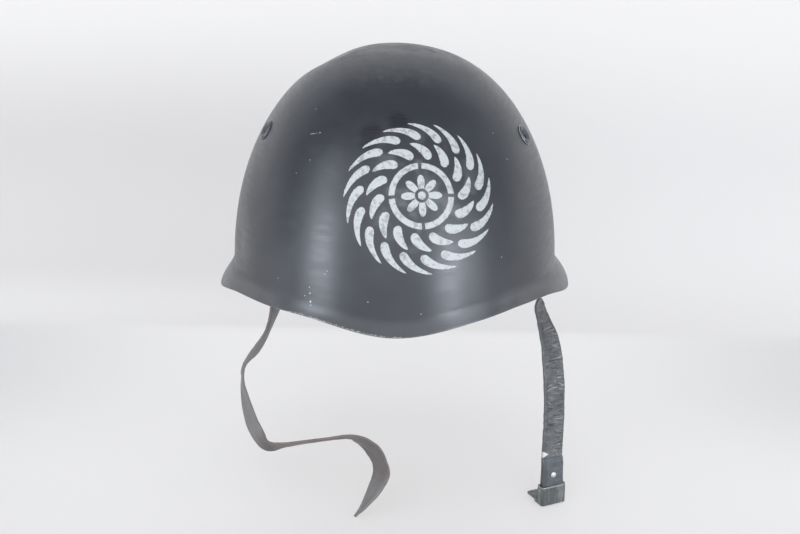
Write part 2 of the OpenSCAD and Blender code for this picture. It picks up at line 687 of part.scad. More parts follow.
module short_strap() {
    lap_top = bar_height + buckle_lap;
    route = concat(lap_start(1, short_lap_lean, short_bar), moved(short_route, hinge(1)),
        [buckle_top(lap_top + 4), buckle_top(lap_top - 4)]);
    color([0.27, 0.27, 0.26])
    difference() {
        union() {
            strap_fold(1, short_lap_lean, short_bar);
            strap_ribbon(route, 0);
            at_buckle() translate([0, 0, bar_height]) rotate([90, 0, 90])
                linear_extrude(height = strap_width, center = true)
                    rotate(180) fold_outline(bar_bore_r, buckle_lap);
        }
        lap_rivet_hole(1, short_lap_lean, short_bar);
        at_buckle() translate([0, 0, bar_height + buckle_rivet_up]) rotate([90, 0, 0])
            cylinder(h = through, r = lap_rivet_r + rivet_gap, center = true);
    }
}
module short_strap_rivet() {
    color([0.5, 0.52, 0.48]) lap_rivet(1, short_lap_lean, short_bar);
}
module buckle_rivet() {
    color([0.8, 0.8, 0.8])
    at_buckle() translate([0, 0, bar_height + buckle_rivet_up]) rotate([90, 0, 0])
        rivet(ply_out + rivet_gap, -ply_out - rivet_gap, lap_rivet_r, buckle_rivet_head_r);
}

module rounded_box_outline(width, depth, corner) {
    square([width - 2 * corner, depth], center = true);
    square([width, depth - 2 * corner], center = true);
    for (x = [-1, 1], y = [-1, 1])
        translate([x * (width / 2 - corner), y * (depth / 2 - corner)]) circle(r = corner);
}

module buckle_body() {
    inner_w = buckle_width - 2 * buckle_wall;
    inner_d = buckle_depth - 2 * buckle_wall;
    color([0.34, 0.36, 0.35])
    at_buckle() difference() {
        union() {
            linear_extrude(height = buckle_height)
                rounded_box_outline(buckle_width, buckle_depth, buckle_corner);
            for (side = [-1, 1]) translate([side * (buckle_width / 2 - ear_t / 2 - 0.2), 0, 0]) {
                translate([0, lever_y, lever_z]) rotate([0, 90, 0])
                    cylinder(h = ear_t, r = ear_r, center = true);
                translate([-ear_t / 2, buckle_depth / 2 - buckle_corner, 0])
                    cube([ear_t, lever_y - buckle_depth / 2 + buckle_corner, 2 * ear_r]);
            }
        }
        translate([0, 0, -1]) linear_extrude(height = buckle_height + 2)
            rounded_box_outline(inner_w, inner_d, buckle_corner - buckle_wall);
        translate([0, 0, bar_height]) rotate([0, 90, 0])
            cylinder(h = buckle_width + 2, r = bar_r, center = true);
        translate([0, lever_y, lever_z]) rotate([0, 90, 0])
            cylinder(h = buckle_width + 2, r = lever_pin_r, center = true);
        translate([-lever_width / 2 + 0.6, inner_d / 2 - 0.3, 0.8])
            cube([lever_width - 1.2, buckle_wall + 1, 6]);
    }
}

module buckle_bar() {
    color([0.5, 0.5, 0.5])
    at_buckle() translate([0, 0, bar_height]) rotate([0, 90, 0])
        cylinder(h = buckle_width, r = bar_r, center = true);
}

module lever_pin() {
    color([0.5, 0.5, 0.5])
    at_buckle() translate([0, lever_y, lever_z]) rotate([0, 90, 0])
        cylinder(h = buckle_width - 0.2, r = lever_pin_r, center = true);
}

// Lever, lying open behind the sleeve: plate with turned-down sides, barrel and clamping nose
module buckle_lever() {
    color([0.3, 0.31, 0.32])
    at_buckle() translate([0, lever_y, lever_z]) difference() {
        union() {
            rotate([0, 90, 0]) cylinder(h = lever_width, r = lever_barrel_r, center = true);
            translate([-lever_width / 2, 0, -0.6]) cube([lever_width, lever_length, lever_plate_t]);
            for (side = [-1, 1]) translate([side * (lever_width / 2 - 0.4) - 0.4, 2.4, -1.5])
                cube([0.8, lever_length - 2.4, 1.4]);
            translate([-lever_width / 2, lever_length - 0.8, -1.5]) cube([lever_width, 0.8, 1.4]);
            translate([-lever_width / 2 + 1.4, -0.6, 0]) cube([lever_width - 2.8, 1.2, 2.3]);
        }
        rotate([0, 90, 0]) cylinder(h = lever_width + 2, r = lever_bore_r, center = true);
    }
}

shell();
vent_rivet(vent_angle);  // vent_rivet_left
vent_rivet(-vent_angle);  // vent_rivet_right
vent_rivet(180);  // vent_rivet_rear
vent_washer(vent_angle);  // vent_washer_left
vent_washer(-vent_angle);  // vent_washer_right
vent_washer(180);  // vent_washer_rear
hanger(vent_angle);  // hanger_left
hanger(-vent_angle);  // hanger_right
hanger(180);  // hanger_rear
hanger_rivets();
liner_band();
felt_strip();
liner_leather();
liner_rivets();
crown_lace();
bracket(1);  // bracket_left
bracket(-1);  // bracket_right
bracket_rivets();
strap_loop(1, short_loop_lean);  // loop_left
short_strap();
short_strap_rivet();
buckle_body();
buckle_bar();
buckle_rivet();
buckle_lever();
lever_pin();
strap_loop(-1, 0);  // loop_right
long_strap();
long_strap_rivet();
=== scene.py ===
"""Looks of a pressed steel parade helmet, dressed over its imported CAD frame."""

import logging
import math
from dataclasses import dataclass, field
from enum import Enum
from typing import Callable, Sequence

import bmesh
import bpy
from mathutils import Matrix, Vector, noise
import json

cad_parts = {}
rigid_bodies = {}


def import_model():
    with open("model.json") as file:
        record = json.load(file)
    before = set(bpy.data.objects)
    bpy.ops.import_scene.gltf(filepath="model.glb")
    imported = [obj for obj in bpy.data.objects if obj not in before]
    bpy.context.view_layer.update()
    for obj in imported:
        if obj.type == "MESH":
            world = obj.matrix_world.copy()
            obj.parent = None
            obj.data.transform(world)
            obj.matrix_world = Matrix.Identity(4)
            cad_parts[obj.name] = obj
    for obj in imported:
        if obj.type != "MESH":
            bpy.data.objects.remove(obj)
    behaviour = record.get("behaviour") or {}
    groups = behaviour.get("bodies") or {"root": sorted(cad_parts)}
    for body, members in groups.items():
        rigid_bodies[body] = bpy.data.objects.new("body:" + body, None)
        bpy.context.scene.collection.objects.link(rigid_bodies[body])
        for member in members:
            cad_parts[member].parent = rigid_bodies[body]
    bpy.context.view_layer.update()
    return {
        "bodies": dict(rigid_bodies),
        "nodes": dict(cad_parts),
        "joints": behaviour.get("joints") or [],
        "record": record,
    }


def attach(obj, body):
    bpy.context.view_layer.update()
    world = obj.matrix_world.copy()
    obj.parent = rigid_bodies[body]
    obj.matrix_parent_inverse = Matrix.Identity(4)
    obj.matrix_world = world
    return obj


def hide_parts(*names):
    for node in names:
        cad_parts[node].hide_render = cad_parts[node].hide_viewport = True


LOG = logging.getLogger("helmet")
# Metres in a millimetre, millimetres in a metre, and the metres within which vertices are merged
MM = 0.001
PER_METRE = 1000.0
MERGED_WITHIN = 0.000002
Colour = tuple[float, float, float]
Triple = tuple[float, float, float]


class Body(Enum):
    """Rigid bodies of the frame that pieces ride on."""

    HELMET = "helmet"
    LEFT_LOOP = "left_loop"
    LEFT_STRAP = "left_strap"
    LEVER = "lever"
    RIGHT_LOOP = "right_loop"
    RIGHT_STRAP = "right_strap"


class Seen(Enum):
    """Which surfaces show a lamp."""

    DIFFUSE = "diffuse"
    GLOSSY = "glossy"


class Slot(Enum):
    """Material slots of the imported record."""

    SHELL = "shell_paint"
    GREY_PAINT = "grey_paint"
    STEEL = "grey_steel"
    BUCKLE = "buckle_paint"
    LINER = "liner_leather"
    SHORT_STRAP = "short_strap_leather"
    LONG_STRAP = "long_strap_leather"
    FELT = "felt"
    LACE = "lace"


def deselect_all() -> None:
    """Leaves edit mode and clears the selection."""
    if bpy.context.object and bpy.context.object.mode != "OBJECT":
        bpy.ops.object.mode_set(mode="OBJECT")
    bpy.ops.object.select_all(action="DESELECT")


def select_only(obj: bpy.types.Object) -> None:
    """Makes one object the active and only selected one.

    Args:
        obj: The object to work on.
    """
    deselect_all()
    obj.hide_set(False)
    obj.select_set(True)
    bpy.context.view_layer.objects.active = obj


def apply_modifiers(obj: bpy.types.Object) -> None:
    """Applies an object's modifiers in order.

    Args:
        obj: The object whose modifiers are finished.
    """
    select_only(obj)
    for name in [m.name for m in obj.modifiers]:
        bpy.ops.object.modifier_apply(modifier=name)


def smooth(obj: bpy.types.Object, degrees: float) -> None:
    """Shades an object smooth, with sharp edges above an angle.

    Args:
        obj: The object to shade.
        degrees: Angle above which an edge stays sharp.
    """
    select_only(obj)
    bpy.ops.object.shade_smooth_by_angle(angle=math.radians(degrees))


def dress(obj: bpy.types.Object, body: Body, material: bpy.types.Material,
          replaced: Sequence[str]) -> None:
    """Gives a finished piece its material and body, and hides the CAD nodes that it stands for.

    Args:
        obj: The finished piece.
        body: The body it moves with.
        material: Its material.
        replaced: CAD nodes that it stands for.
    """
    if obj.data.materials:
        obj.data.materials[0] = material
    else:
        obj.data.materials.append(material)
    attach(obj, body.value)
    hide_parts(*replaced)
    LOG.info("%s: %d faces on %s", obj.name, len(obj.data.polygons), body.value)


def unit(v: Vector) -> Vector:
    """Returns a vector's direction."""
    return v.normalized()


def shade(colour: Colour, factor: float) -> Colour:
    """Returns a colour made darker or lighter by a factor."""
    return tuple(factor * c for c in colour)


def blended(points: Sequence[Sequence[float]], s: float) -> list[float]:
    """Reads a Catmull-Rom curve through points of any number of values.

    Args:
        points: The values at each station.
        s: Place along the curve, counted in stations.

    Returns:
        The values at that place.
    """
    i = min(int(math.floor(s)), len(points) - 2)
    u = s - i
    a, b = points[max(i - 1, 0)], points[i]
    c, d = points[i + 1], points[min(i + 2, len(points) - 1)]
    return [
        q + 0.5 * u * (r - p + u * (2 * p - 5 * q + 4 * r - t + u * (3 * q - p - 3 * r + t)))
        for p, q, r, t in zip(a, b, c, d)
    ]


class Nodes:
    """A node tree, with short methods for its maths."""

    def __init__(self, tree: bpy.types.NodeTree) -> None:
        """Takes the tree to work on.

        Args:
            tree: A material's or the world's node tree.
        """
        self.tree = tree

    def put(self, socket: bpy.types.NodeSocket, value: object) -> None:
        """Links a socket to another, or sets its value.

        Args:
            socket: The input.
            value: A socket to link, or a number, colour or vector.
        """
        if isinstance(value, bpy.types.NodeSocket):
            self.tree.links.new(value, socket)
        elif isinstance(value, (tuple, list, Vector)) and socket.type == "RGBA":
            socket.default_value = (*value, 1.0) if len(value) == 3 else value
        else:
            socket.default_value = value

    def math(self, operation: str, a: object, b: object = 0.0, c: object = 0.0) -> bpy.types.NodeSocket:
        """Adds a Math node.

        Args:
            operation: Blender's name of the operation.
            a: First value.
            b: Second value.
            c: Third value, where the operation has one.

        Returns:
            The result.
        """
        n = self.tree.nodes.new("ShaderNodeMath")
        n.operation = operation
        for socket, value in zip(n.inputs, (a, b, c)):
            self.put(socket, value)
        return n.outputs[0]

    def plus(self, a: object, b: object) -> bpy.types.NodeSocket:
        """Returns the sum of two numbers."""
        return self.math("ADD", a, b)

    def minus(self, a: object, b: object) -> bpy.types.NodeSocket:
        """Returns the first number less the second."""
        return self.math("SUBTRACT", a, b)

    def times(self, a: object, b: object) -> bpy.types.NodeSocket:
        """Returns the product of two numbers."""
        return self.math("MULTIPLY", a, b)

    def absolute(self, a: object) -> bpy.types.NodeSocket:
        """Returns a number without its sign."""
        return self.math("ABSOLUTE", a)

    def vector(self, operation: str, a: object, b: object = (0, 0, 0),
               scale: float = 1.0) -> bpy.types.NodeSocket:
        """Adds a Vector Math node.

        Args:
            operation: Blender's name of the operation.
            a: First vector.
            b: Second vector.
            scale: Factor for SCALE.

        Returns:
            The result, a number for DISTANCE and DOT_PRODUCT.
        """
        n = self.tree.nodes.new("ShaderNodeVectorMath")
        n.operation = operation
        self.put(n.inputs[0], a)
        self.put(n.inputs[1], b)
        if operation == "SCALE":
            n.inputs["Scale"].default_value = scale
        number = operation in ("DISTANCE", "DOT_PRODUCT")
        return n.outputs["Value" if number else "Vector"]

    def parts(self, vector: object) -> tuple[bpy.types.NodeSocket, ...]:
        """Takes a vector apart.

        Args:
            vector: The vector.

        Returns:
            Its x, y and z.
        """
        n = self.tree.nodes.new("ShaderNodeSeparateXYZ")
        self.put(n.inputs[0], vector)
        return tuple(n.outputs)

    def place(self) -> bpy.types.NodeSocket:
        """Returns the place on the piece in millimetres."""
        n = self.tree.nodes.new("ShaderNodeTexCoord")
        return self.vector("SCALE", n.outputs["Object"], scale=PER_METRE)

    def attribute(self, name: str) -> bpy.types.NodeSocket:
        """Reads a vertex attribute.

        Args:
            name: The attribute's name.

        Returns:
            Its number.
        """
        n = self.tree.nodes.new("ShaderNodeAttribute")
        n.attribute_name = name
        return n.outputs["Fac"]

    def along(self, stretch: Triple) -> bpy.types.NodeSocket:
        """Returns the strap's own coordinates, across and along, scaled.

        Args:
            stretch: Factors across and along the strap and through it.

        Returns:
            The scaled vector.
        """
        n = self.tree.nodes.new("ShaderNodeCombineXYZ")
        self.put(n.inputs[0], self.attribute("across"))
        self.put(n.inputs[1], self.attribute("along"))
        self.put(n.inputs[2], self.attribute("face"))
        return self.vector("MULTIPLY", n.outputs[0], stretch)

    def noise(self, vector: object, scale: float, detail: float, rough: float = 0.5,
              warp: float = 0.0) -> bpy.types.NodeSocket:
        """Adds a Noise texture.

        Args:
            vector: Where it is read.
            scale: Its scale.
            detail: Octaves.
            rough: Strength of the finer octaves.
            warp: Distortion.

        Returns:
            The noise, about 0.5 in the middle.
        """
        n = self.tree.nodes.new("ShaderNodeTexNoise")
        self.put(n.inputs["Vector"], vector)
        for name, value in (("Scale", scale), ("Detail", detail), ("Roughness", rough), ("Distortion", warp)):
            n.inputs[name].default_value = value
        return n.outputs["Fac"]

    def cells(self, vector: object, scale: float) -> bpy.types.Node:
        """Adds a Voronoi texture.

        Args:
            vector: Where it is read.
            scale: Its scale.

        Returns:
            Its node, with a Distance and a Color for each cell.
        """
        n = self.tree.nodes.new("ShaderNodeTexVoronoi")
        self.put(n.inputs["Vector"], vector)
        n.inputs["Scale"].default_value = scale
        return n

    def ramp(self, value: object, low: float, high: float, start: float = 0.0,
             end: float = 1.0) -> bpy.types.NodeSocket:
        """Maps a value smoothly from one range to another.

        Args:
            value: The number to map.
            low: Where the result is start.
            high: Where the result is end.
            start: First result.
            end: Last result.

        Returns:
            The mapped number.
        """
        n = self.tree.nodes.new("ShaderNodeMapRange")
        n.interpolation_type = "SMOOTHSTEP"
        for i, v in enumerate((value, low, high, start, end)):
            self.put(n.inputs[i], v)
        return n.outputs["Result"]

    def mix(self, factor: object, a: object, b: object) -> bpy.types.NodeSocket:
        """Mixes two colours.

        Args:
            factor: Share of the second colour.
            a: First colour.
            b: Second colour.

        Returns:
            The mixed colour.
        """
        n = self.tree.nodes.new("ShaderNodeMix")
        n.data_type = "RGBA"
        self.put(n.inputs[0], factor)
        self.put(n.inputs[6], a)
        self.put(n.inputs[7], b)
        return n.outputs[2]

    def blend(self, factor: object, a: object, b: object) -> bpy.types.NodeSocket:
        """Mixes two numbers.

        Args:
            factor: Share of the second number.
            a: First number.
            b: Second number.

        Returns:
            The mixed number.
        """
        n = self.tree.nodes.new("ShaderNodeMix")
        n.data_type = "FLOAT"
        self.put(n.inputs[0], factor)
        self.put(n.inputs[2], a)
        self.put(n.inputs[3], b)
        return n.outputs[0]

    def bump(self, height: object, distance: float, strength: float,
             under: object = None) -> bpy.types.NodeSocket:
        """Adds a Bump node.

        Args:
            height: The height from 0 to 1.
            distance: Real height of 1, in metres.
            strength: How much of it is used.
            under: A normal that it is laid over.

        Returns:
            The bumped normal.
        """
        n = self.tree.nodes.new("ShaderNodeBump")
        n.inputs["Distance"].default_value = distance
        n.inputs["Strength"].default_value = strength
        self.put(n.inputs["Height"], height)
        if under is not None:
            self.put(n.inputs["Normal"], under)
        return n.outputs["Normal"]

    def largest(self, values: Sequence[object]) -> object:
        """Compares several numbers.

        Args:
            values: The numbers.

        Returns:
            The largest of them.
        """
        result = values[0]
        for value in values[1:]:
            result = self.math("MAXIMUM", result, value)
        return result


class Graph(Nodes):
    """One material and its node tree."""

    def __init__(self, name: str) -> None:
        """Makes the material with an empty tree and a Principled shader.

        Args:
            name: The material's name.
        """
        self.material = bpy.data.materials.new(name)
        self.material.use_nodes = True
        super().__init__(self.material.node_tree)
        self.tree.nodes.clear()
        self.shader = self.tree.nodes.new("ShaderNodeBsdfPrincipled")
        self.output = self.tree.nodes.new("ShaderNodeOutputMaterial")
        self.tree.links.new(self.shader.outputs["BSDF"], self.output.inputs["Surface"])

    def set(self, name: str, value: object) -> None:
        """Sets or links one input of the shader."""
        self.put(self.shader.inputs[name], value)


@dataclass(frozen=True)
class Stencil:
    """Generic white ornament sprayed through a stencil on the shell's front.

    A rosette of eight petals stands in a broken ring, in two rows of curved leaf strokes. Lengths are in
    millimetres. A row is its inner and outer radius, its number of strokes, their lean and the share of a
    stroke by which it is turned. Ragged is how far noise moves an outline to the right and up. The other
    pairs are where a soft edge starts and ends.
    """

    centre: Triple = (20.0, -106.8, 100.0)
    facing: Triple = (0.16, -0.83, 0.53)
    front: tuple = (-45.0, -40.0)
    petals: int = 8
    petal_radius: float = 13.5
    petal_point: float = 0.55
    hollow: tuple = (4.2, 4.9)
    dot: tuple = (2.9, 2.3)
    ring_radius: float = 19.5
    ring_half: float = 1.9
    ring_soft: float = 0.3
    bridges: int = 4
    bridge: tuple = (0.03, 0.045)
    rows: tuple = ((24.0, 35.5, 14, 0.34, 0.0), (37.0, 49.5, 18, 0.44, 0.5))
    stroke: float = 0.62
    ragged: tuple = (0.9, -0.8)
    thinnest: float = 0.55
    mist: tuple = (53.0, 22.0)
    mist_cover: float = 0.13

    def mask(self, g: Graph, place: object) -> tuple[bpy.types.NodeSocket, bpy.types.NodeSocket]:
        """Adds the ornament's nodes.

        Args:
            g: The shell paint's graph.
            place: The place on the shell in millimetres.

        Returns:
            The ornament's cover, and the faint mist of paint round it.
        """
        out = unit(Vector(self.facing))
        right = unit(Vector((0, 0, 1)).cross(out))
        up = out.cross(right)
        local = g.vector("SUBTRACT", place, self.centre)
        ragged = g.minus(g.noise(place, 0.9, 3, 0.6), 0.5)
        u = g.plus(g.vector("DOT_PRODUCT", local, tuple(right)), g.times(ragged, self.ragged[0]))
        v = g.plus(g.vector("DOT_PRODUCT", local, tuple(up)), g.times(ragged, self.ragged[1]))
        front = g.ramp(g.vector("DOT_PRODUCT", local, tuple(out)), *self.front)
        r = g.math("SQRT", g.plus(g.times(u, u), g.times(v, v)))
        turn = g.math("ARCTAN2", u, v)
        shapes = [self._row(g, r, turn, *row) for row in self.rows]
        shapes.append(self._ring(g, r, turn))
        shapes.append(self._rosette(g, r, turn))
        patchy = g.ramp(g.noise(place, 0.35, 3), 0.30, 0.52, self.thinnest, 1.0)
        sprayed = g.times(g.times(g.largest(shapes), front), patchy)
        drifted = g.ramp(g.noise(place, 0.07, 2), 0.47, 0.68, 0.0, self.mist_cover)
        mist = g.times(g.times(g.ramp(r, *self.mist), front), drifted)
        return sprayed, mist

    def _row(self, g: Graph, r: object, turn: object, inner: float, outer: float, count: int, lean: float,
             shift: float) -> bpy.types.NodeSocket:
        """Adds one row of leaf strokes between two radii.

        Args:
            g: The graph.
            r: Distance from the ornament's middle.
            turn: Angle round it, in radians.
            inner: The row's inner radius.
            outer: Its outer radius.
            count: Number of strokes.
            lean: Radians by which a stroke's outer end is turned.
            shift: Share of a stroke by which the row is turned.

        Returns:
            The row's cover.
        """
        t = g.math("DIVIDE", g.minus(r, inner), outer - inner)
        leaned = g.math("MULTIPLY_ADD", g.times(t, t), lean, turn)
        part = g.math("FRACT", g.math("MULTIPLY_ADD", leaned, count / math.tau, shift))
        off = g.times(g.absolute(g.minus(part, 0.5)), 2.0)
        swell = g.math("MAXIMUM", g.times(g.times(t, 4.0), g.minus(1.0, t)), 0.0)
        width = g.times(g.math("POWER", swell, 0.5), self.stroke)
        inside = g.ramp(g.minus(width, off), -0.03, 0.07)
        return g.times(inside, g.ramp(swell, 0.02, 0.08))

    def _ring(self, g: Graph, r: object, turn: object) -> bpy.types.NodeSocket:
        """Adds the ring, broken by its bridges.

        Args:
            g: The graph.
            r: Distance from the ornament's middle.
            turn: Angle round it, in radians.

        Returns:
            The ring's cover.
        """
        off = g.absolute(g.minus(r, self.ring_radius))
        band = g.ramp(off, self.ring_half + self.ring_soft, self.ring_half - self.ring_soft)
        part = g.math("FRACT", g.math("MULTIPLY_ADD", turn, self.bridges / math.tau, 0.5))
        gap = g.ramp(g.absolute(g.minus(part, 0.5)), *self.bridge)
        return g.times(band, gap)

    def _rosette(self, g: Graph, r: object, turn: object) -> bpy.types.NodeSocket:
        """Adds the petals and the middle dot.

        Args:
            g: The graph.
            r: Distance from the ornament's middle.
            turn: Angle round it, in radians.

        Returns:
            The rosette's cover.
        """
        lobes = g.absolute(g.math("COSINE", g.times(turn, self.petals / 2)))
        reach = g.times(g.math("POWER", lobes, self.petal_point), self.petal_radius)
        petals = g.ramp(g.minus(reach, r), -0.3, 0.4)
        return g.math("MAXIMUM", g.times(petals, g.ramp(r, *self.hollow)), g.ramp(r, *self.dot))


@dataclass(frozen=True)
class ShellPaint:
    """Satin black-grey paint with a white ornament, chips and a worn rim.

    A chip and a blot are a centre and a radius in millimetres. A worn run is its left and right end across
    the front and how far the paint is gone. A corner is two places across and the share of the flare's
    painted reflection at each. The other pairs are where a soft change starts and ends.
    """

    name: str = "shell_satin_paint"
    dark: Colour = (0.034, 0.038, 0.048)
    light: Colour = (0.046, 0.051, 0.063)
    white: Colour = (0.56, 0.59, 0.62)
    steel: Colour = (0.62, 0.61, 0.60)
    bare_chip: Colour = (0.78, 0.78, 0.76)
    # Colour of the painted highlight on the vent rivets' lips and of the painted light inside their heads.
    lip_highlight: Colour = (0.45, 0.46, 0.50)
    # Colour of the painted reflection on the flare's front corners.
    dull: Colour = (0.14, 0.143, 0.152)
    rubbed_crown: Colour = (0.12, 0.122, 0.13)
    stained: Colour = (0.014, 0.015, 0.018)
    stencil: Stencil = field(default_factory=Stencil)
    chips: tuple = (
        (-53.6, -68.8, 128.5, 0.28), (-52.8, -69.3, 128.8, 0.28), (-52.0, -69.8, 129.1, 0.3),
        (-51.0, -70.4, 129.5, 0.26), (-49.6, -71.2, 129.9, 0.24), (-47.6, -72.3, 130.6, 0.36),
        (-47.0, -72.6, 130.9, 0.3), (-53.6, -82.0, 115.0, 0.4), (-55.5, -79.2, 116.9, 0.35),
        (-51.3, -53.9, 141.1, 0.3), (-62.7, -80.6, 105.3, 0.3), (65.7, -55.7, 127.4, 0.3),
        (75.3, -59.9, 110.9, 0.3), (-40.3, -116.3, 50.8, 0.35), (-41.6, -116.1, 48.6, 0.3),
        (-52.0, -111.9, 37.7, 0.35), (-51.7, -112.4, 33.7, 0.5), (-55.1, -110.4, 31.1, 0.4),
        (-51.3, -113.0, 28.0, 0.7), (-50.9, -113.2, 25.6, 0.6), (-74.0, -94.6, 36.9, 0.3),
        (-13.3, -125.8, 33.6, 0.4), (21.0, -124.8, 25.6, 0.4),
    )
    blots: tuple = ((-13.0, -85.1, 133.9, 7.5), (3.6, -78.9, 140.4, 6.5), (-16.4, -88.9, 128.0, 4.5))
    worn_runs: tuple = ((-120.0, -66.0, 0.5), (-66.0, -4.0, 1.0), (-4.0, 8.0, 0.75), (8.0, 60.0, 0.45))
    worn_width: float = 0.85
    worn_least: float = 0.55
    worn_fade: float = 3.0
    corner_inner: tuple = (65.0, 78.0, 0.2, 0.8)
    corner_outer: tuple = (92.0, 108.0, 1.0, 0.4)
    painted_reflection_below: tuple = (14.0, 6.0)
    crown: tuple = (152.0, 164.0)
    ior: float = 1.6

    def build(self) -> bpy.types.Material:
        """Makes the material.

        Returns:
            The finished material.
        """
        g = Graph(self.name)
        place = g.place()
        rim = g.attribute("rim")
        blot = g.largest([self._spot(g, place, b, ragged=0.5, soft=0.5) for b in self.blots])
        crown = self._crown(g, place)
        sprayed, mist = self.stencil.mask(g, place)
        chips = self._chips(g, place)
        worn = self._worn_rim(g, place, rim)
        colour = g.mix(g.ramp(g.noise(place, 0.018, 4, 0.55), 0.36, 0.66), self.dark, self.light)
        colour = g.mix(g.times(blot, 0.6), colour, self.stained)
        colour = g.mix(g.times(crown, 0.5), colour, self.rubbed_crown)
        # Painted reflection: the flare painted lighter near the rim, most at its front corners.
        colour = g.mix(self._painted_flare_reflection(g, place, rim), colour, self.dull)
        colour = g.mix(mist, colour, self.white)
        colour = g.mix(sprayed, colour, self.white)
        # Vent rivets: a painted highlight on their lips and painted light inside their heads, read from the
        # lip attribute.
        patchy = g.ramp(g.noise(place, 1.2, 4, 0.7), 0.35, 0.6, 0.45, 1.0)
        colour = g.mix(g.times(g.attribute("lip"), patchy), colour, self.lip_highlight)
        colour = g.mix(chips, colour, self.bare_chip)
        g.set("Base Color", g.mix(worn, colour, self.steel))
        g.set("Metallic", g.times(worn, 0.3))
        scuffs = g.noise(g.vector("MULTIPLY", place, (0.05, 0.05, 0.35)), 1.0, 5, 0.65)
        rough = g.plus(g.ramp(scuffs, 0.3, 0.7, 0.29, 0.37), g.times(sprayed, 0.2))
        rough = g.plus(rough, g.times(crown, 0.16))
        g.set("Roughness", g.plus(rough, g.times(blot, -0.04)))
        g.set("IOR", self.ior)
        waves = g.bump(g.noise(place, 0.03, 2, 0.4), 0.0006, 0.55)
        skin = g.bump(g.noise(place, 0.5, 2, 0.5), 0.00003, 0.7, waves)
        raised = g.minus(g.times(sprayed, 0.5), g.math("MAXIMUM", chips, worn))
        g.set("Normal", g.bump(raised, 0.0001, 0.8, skin))
        return g.material

    def _spot(self, g: Graph, place: object, spot: Sequence[float], ragged: float,
              soft: float) -> bpy.types.NodeSocket:
        """Adds one ragged round spot.

        Args:
            g: The graph.
            place: The place on the shell in millimetres.
            spot: Its centre and radius.
            ragged: Share of the radius that noise adds or takes.
            soft: Share of the radius over which it fades.

        Returns:
            Its cover.
        """
        x, y, z, radius = spot
        away = g.vector("DISTANCE", place, (x, y, z))
        rough = g.minus(g.noise(place, 1.1 / radius, 3, 0.7), 0.5)
        edge = g.math("MULTIPLY_ADD", rough, 2 * ragged * radius, away)
        return g.ramp(edge, radius * (1 + soft), radius * (1 - soft))

    def _chips(self, g: Graph, place: object) -> bpy.types.NodeSocket:
        """Adds the chips seen in the photograph and a few fine specks all over.

        Args:
            g: The graph.
            place: The place on the shell in millimetres.

        Returns:
            Their cover.
        """
        seen = [self._spot(g, place, c, ragged=0.9, soft=0.25) for c in self.chips]
        cells = g.cells(place, 0.11)
        rare = g.ramp(g.vector("DOT_PRODUCT", cells.outputs["Color"], (1, 0, 0)), 0.955, 0.965)
        speck = g.ramp(cells.outputs["Distance"], 0.055, 0.03)
        return g.largest([*seen, g.times(rare, speck)])

    def _worn_rim(self, g: Graph, place: object, rim: object) -> bpy.types.NodeSocket:
        """Adds the bare line along the rim's edge, broken and wider where the paint has chipped.

        Args:
            g: The graph.
            place: The place on the shell in millimetres.
            rim: Distance from the rim's edge in millimetres.

        Returns:
            Its cover.
        """
        x, y, _ = g.parts(place)
        runs = []
        for left, right, amount in self.worn_runs:
            run = g.times(g.ramp(x, left - self.worn_fade, left), g.ramp(x, right + self.worn_fade, right))
            runs.append(g.times(run, amount))
        front = g.times(g.largest(runs), g.ramp(y, -20.0, -40.0))
        fine = g.ramp(g.noise(place, 0.7, 4, 0.75), 0.42, 0.62)
        reach = g.times(front, g.math("MULTIPLY_ADD", fine, self.worn_width, self.worn_least))
        bare = g.ramp(g.minus(reach, rim), -0.04, 0.10)
        strong = g.ramp(g.noise(place, 0.35, 4, 0.7), 0.42, 0.6, 0.12, 0.62)
        return g.times(g.times(bare, g.ramp(rim, 0.3, 0.6, 0.15, 1.0)), strong)

    def _painted_flare_reflection(self, g: Graph, place: object, rim: object) -> bpy.types.NodeSocket:
        """Adds a painted reflection along the flare, as lighter paint most at the front corners.

        Args:
            g: The graph.
            place: The place on the shell in millimetres.
            rim: Distance from the rim's edge in millimetres.

        Returns:
            Its cover.
        """
        side = g.absolute(g.parts(place)[0])
        corner = g.times(g.ramp(side, *self.corner_inner), g.ramp(side, *self.corner_outer))
        patchy = g.ramp(g.noise(place, 0.12, 4, 0.6), 0.3, 0.6, 0.8, 1.0)
        return g.times(g.times(corner, patchy), g.ramp(rim, *self.painted_reflection_below))

    def _crown(self, g: Graph, place: object) -> bpy.types.NodeSocket:
        """Adds dull rubbed patches on the top of the crown.

        Args:
            g: The graph.
            place: The place on the shell in millimetres.

        Returns:
            Their cover.
        """
        high = g.ramp(g.parts(place)[2], *self.crown)
        return g.times(high, g.ramp(g.noise(place, 0.09, 6, 0.7), 0.46, 0.68))


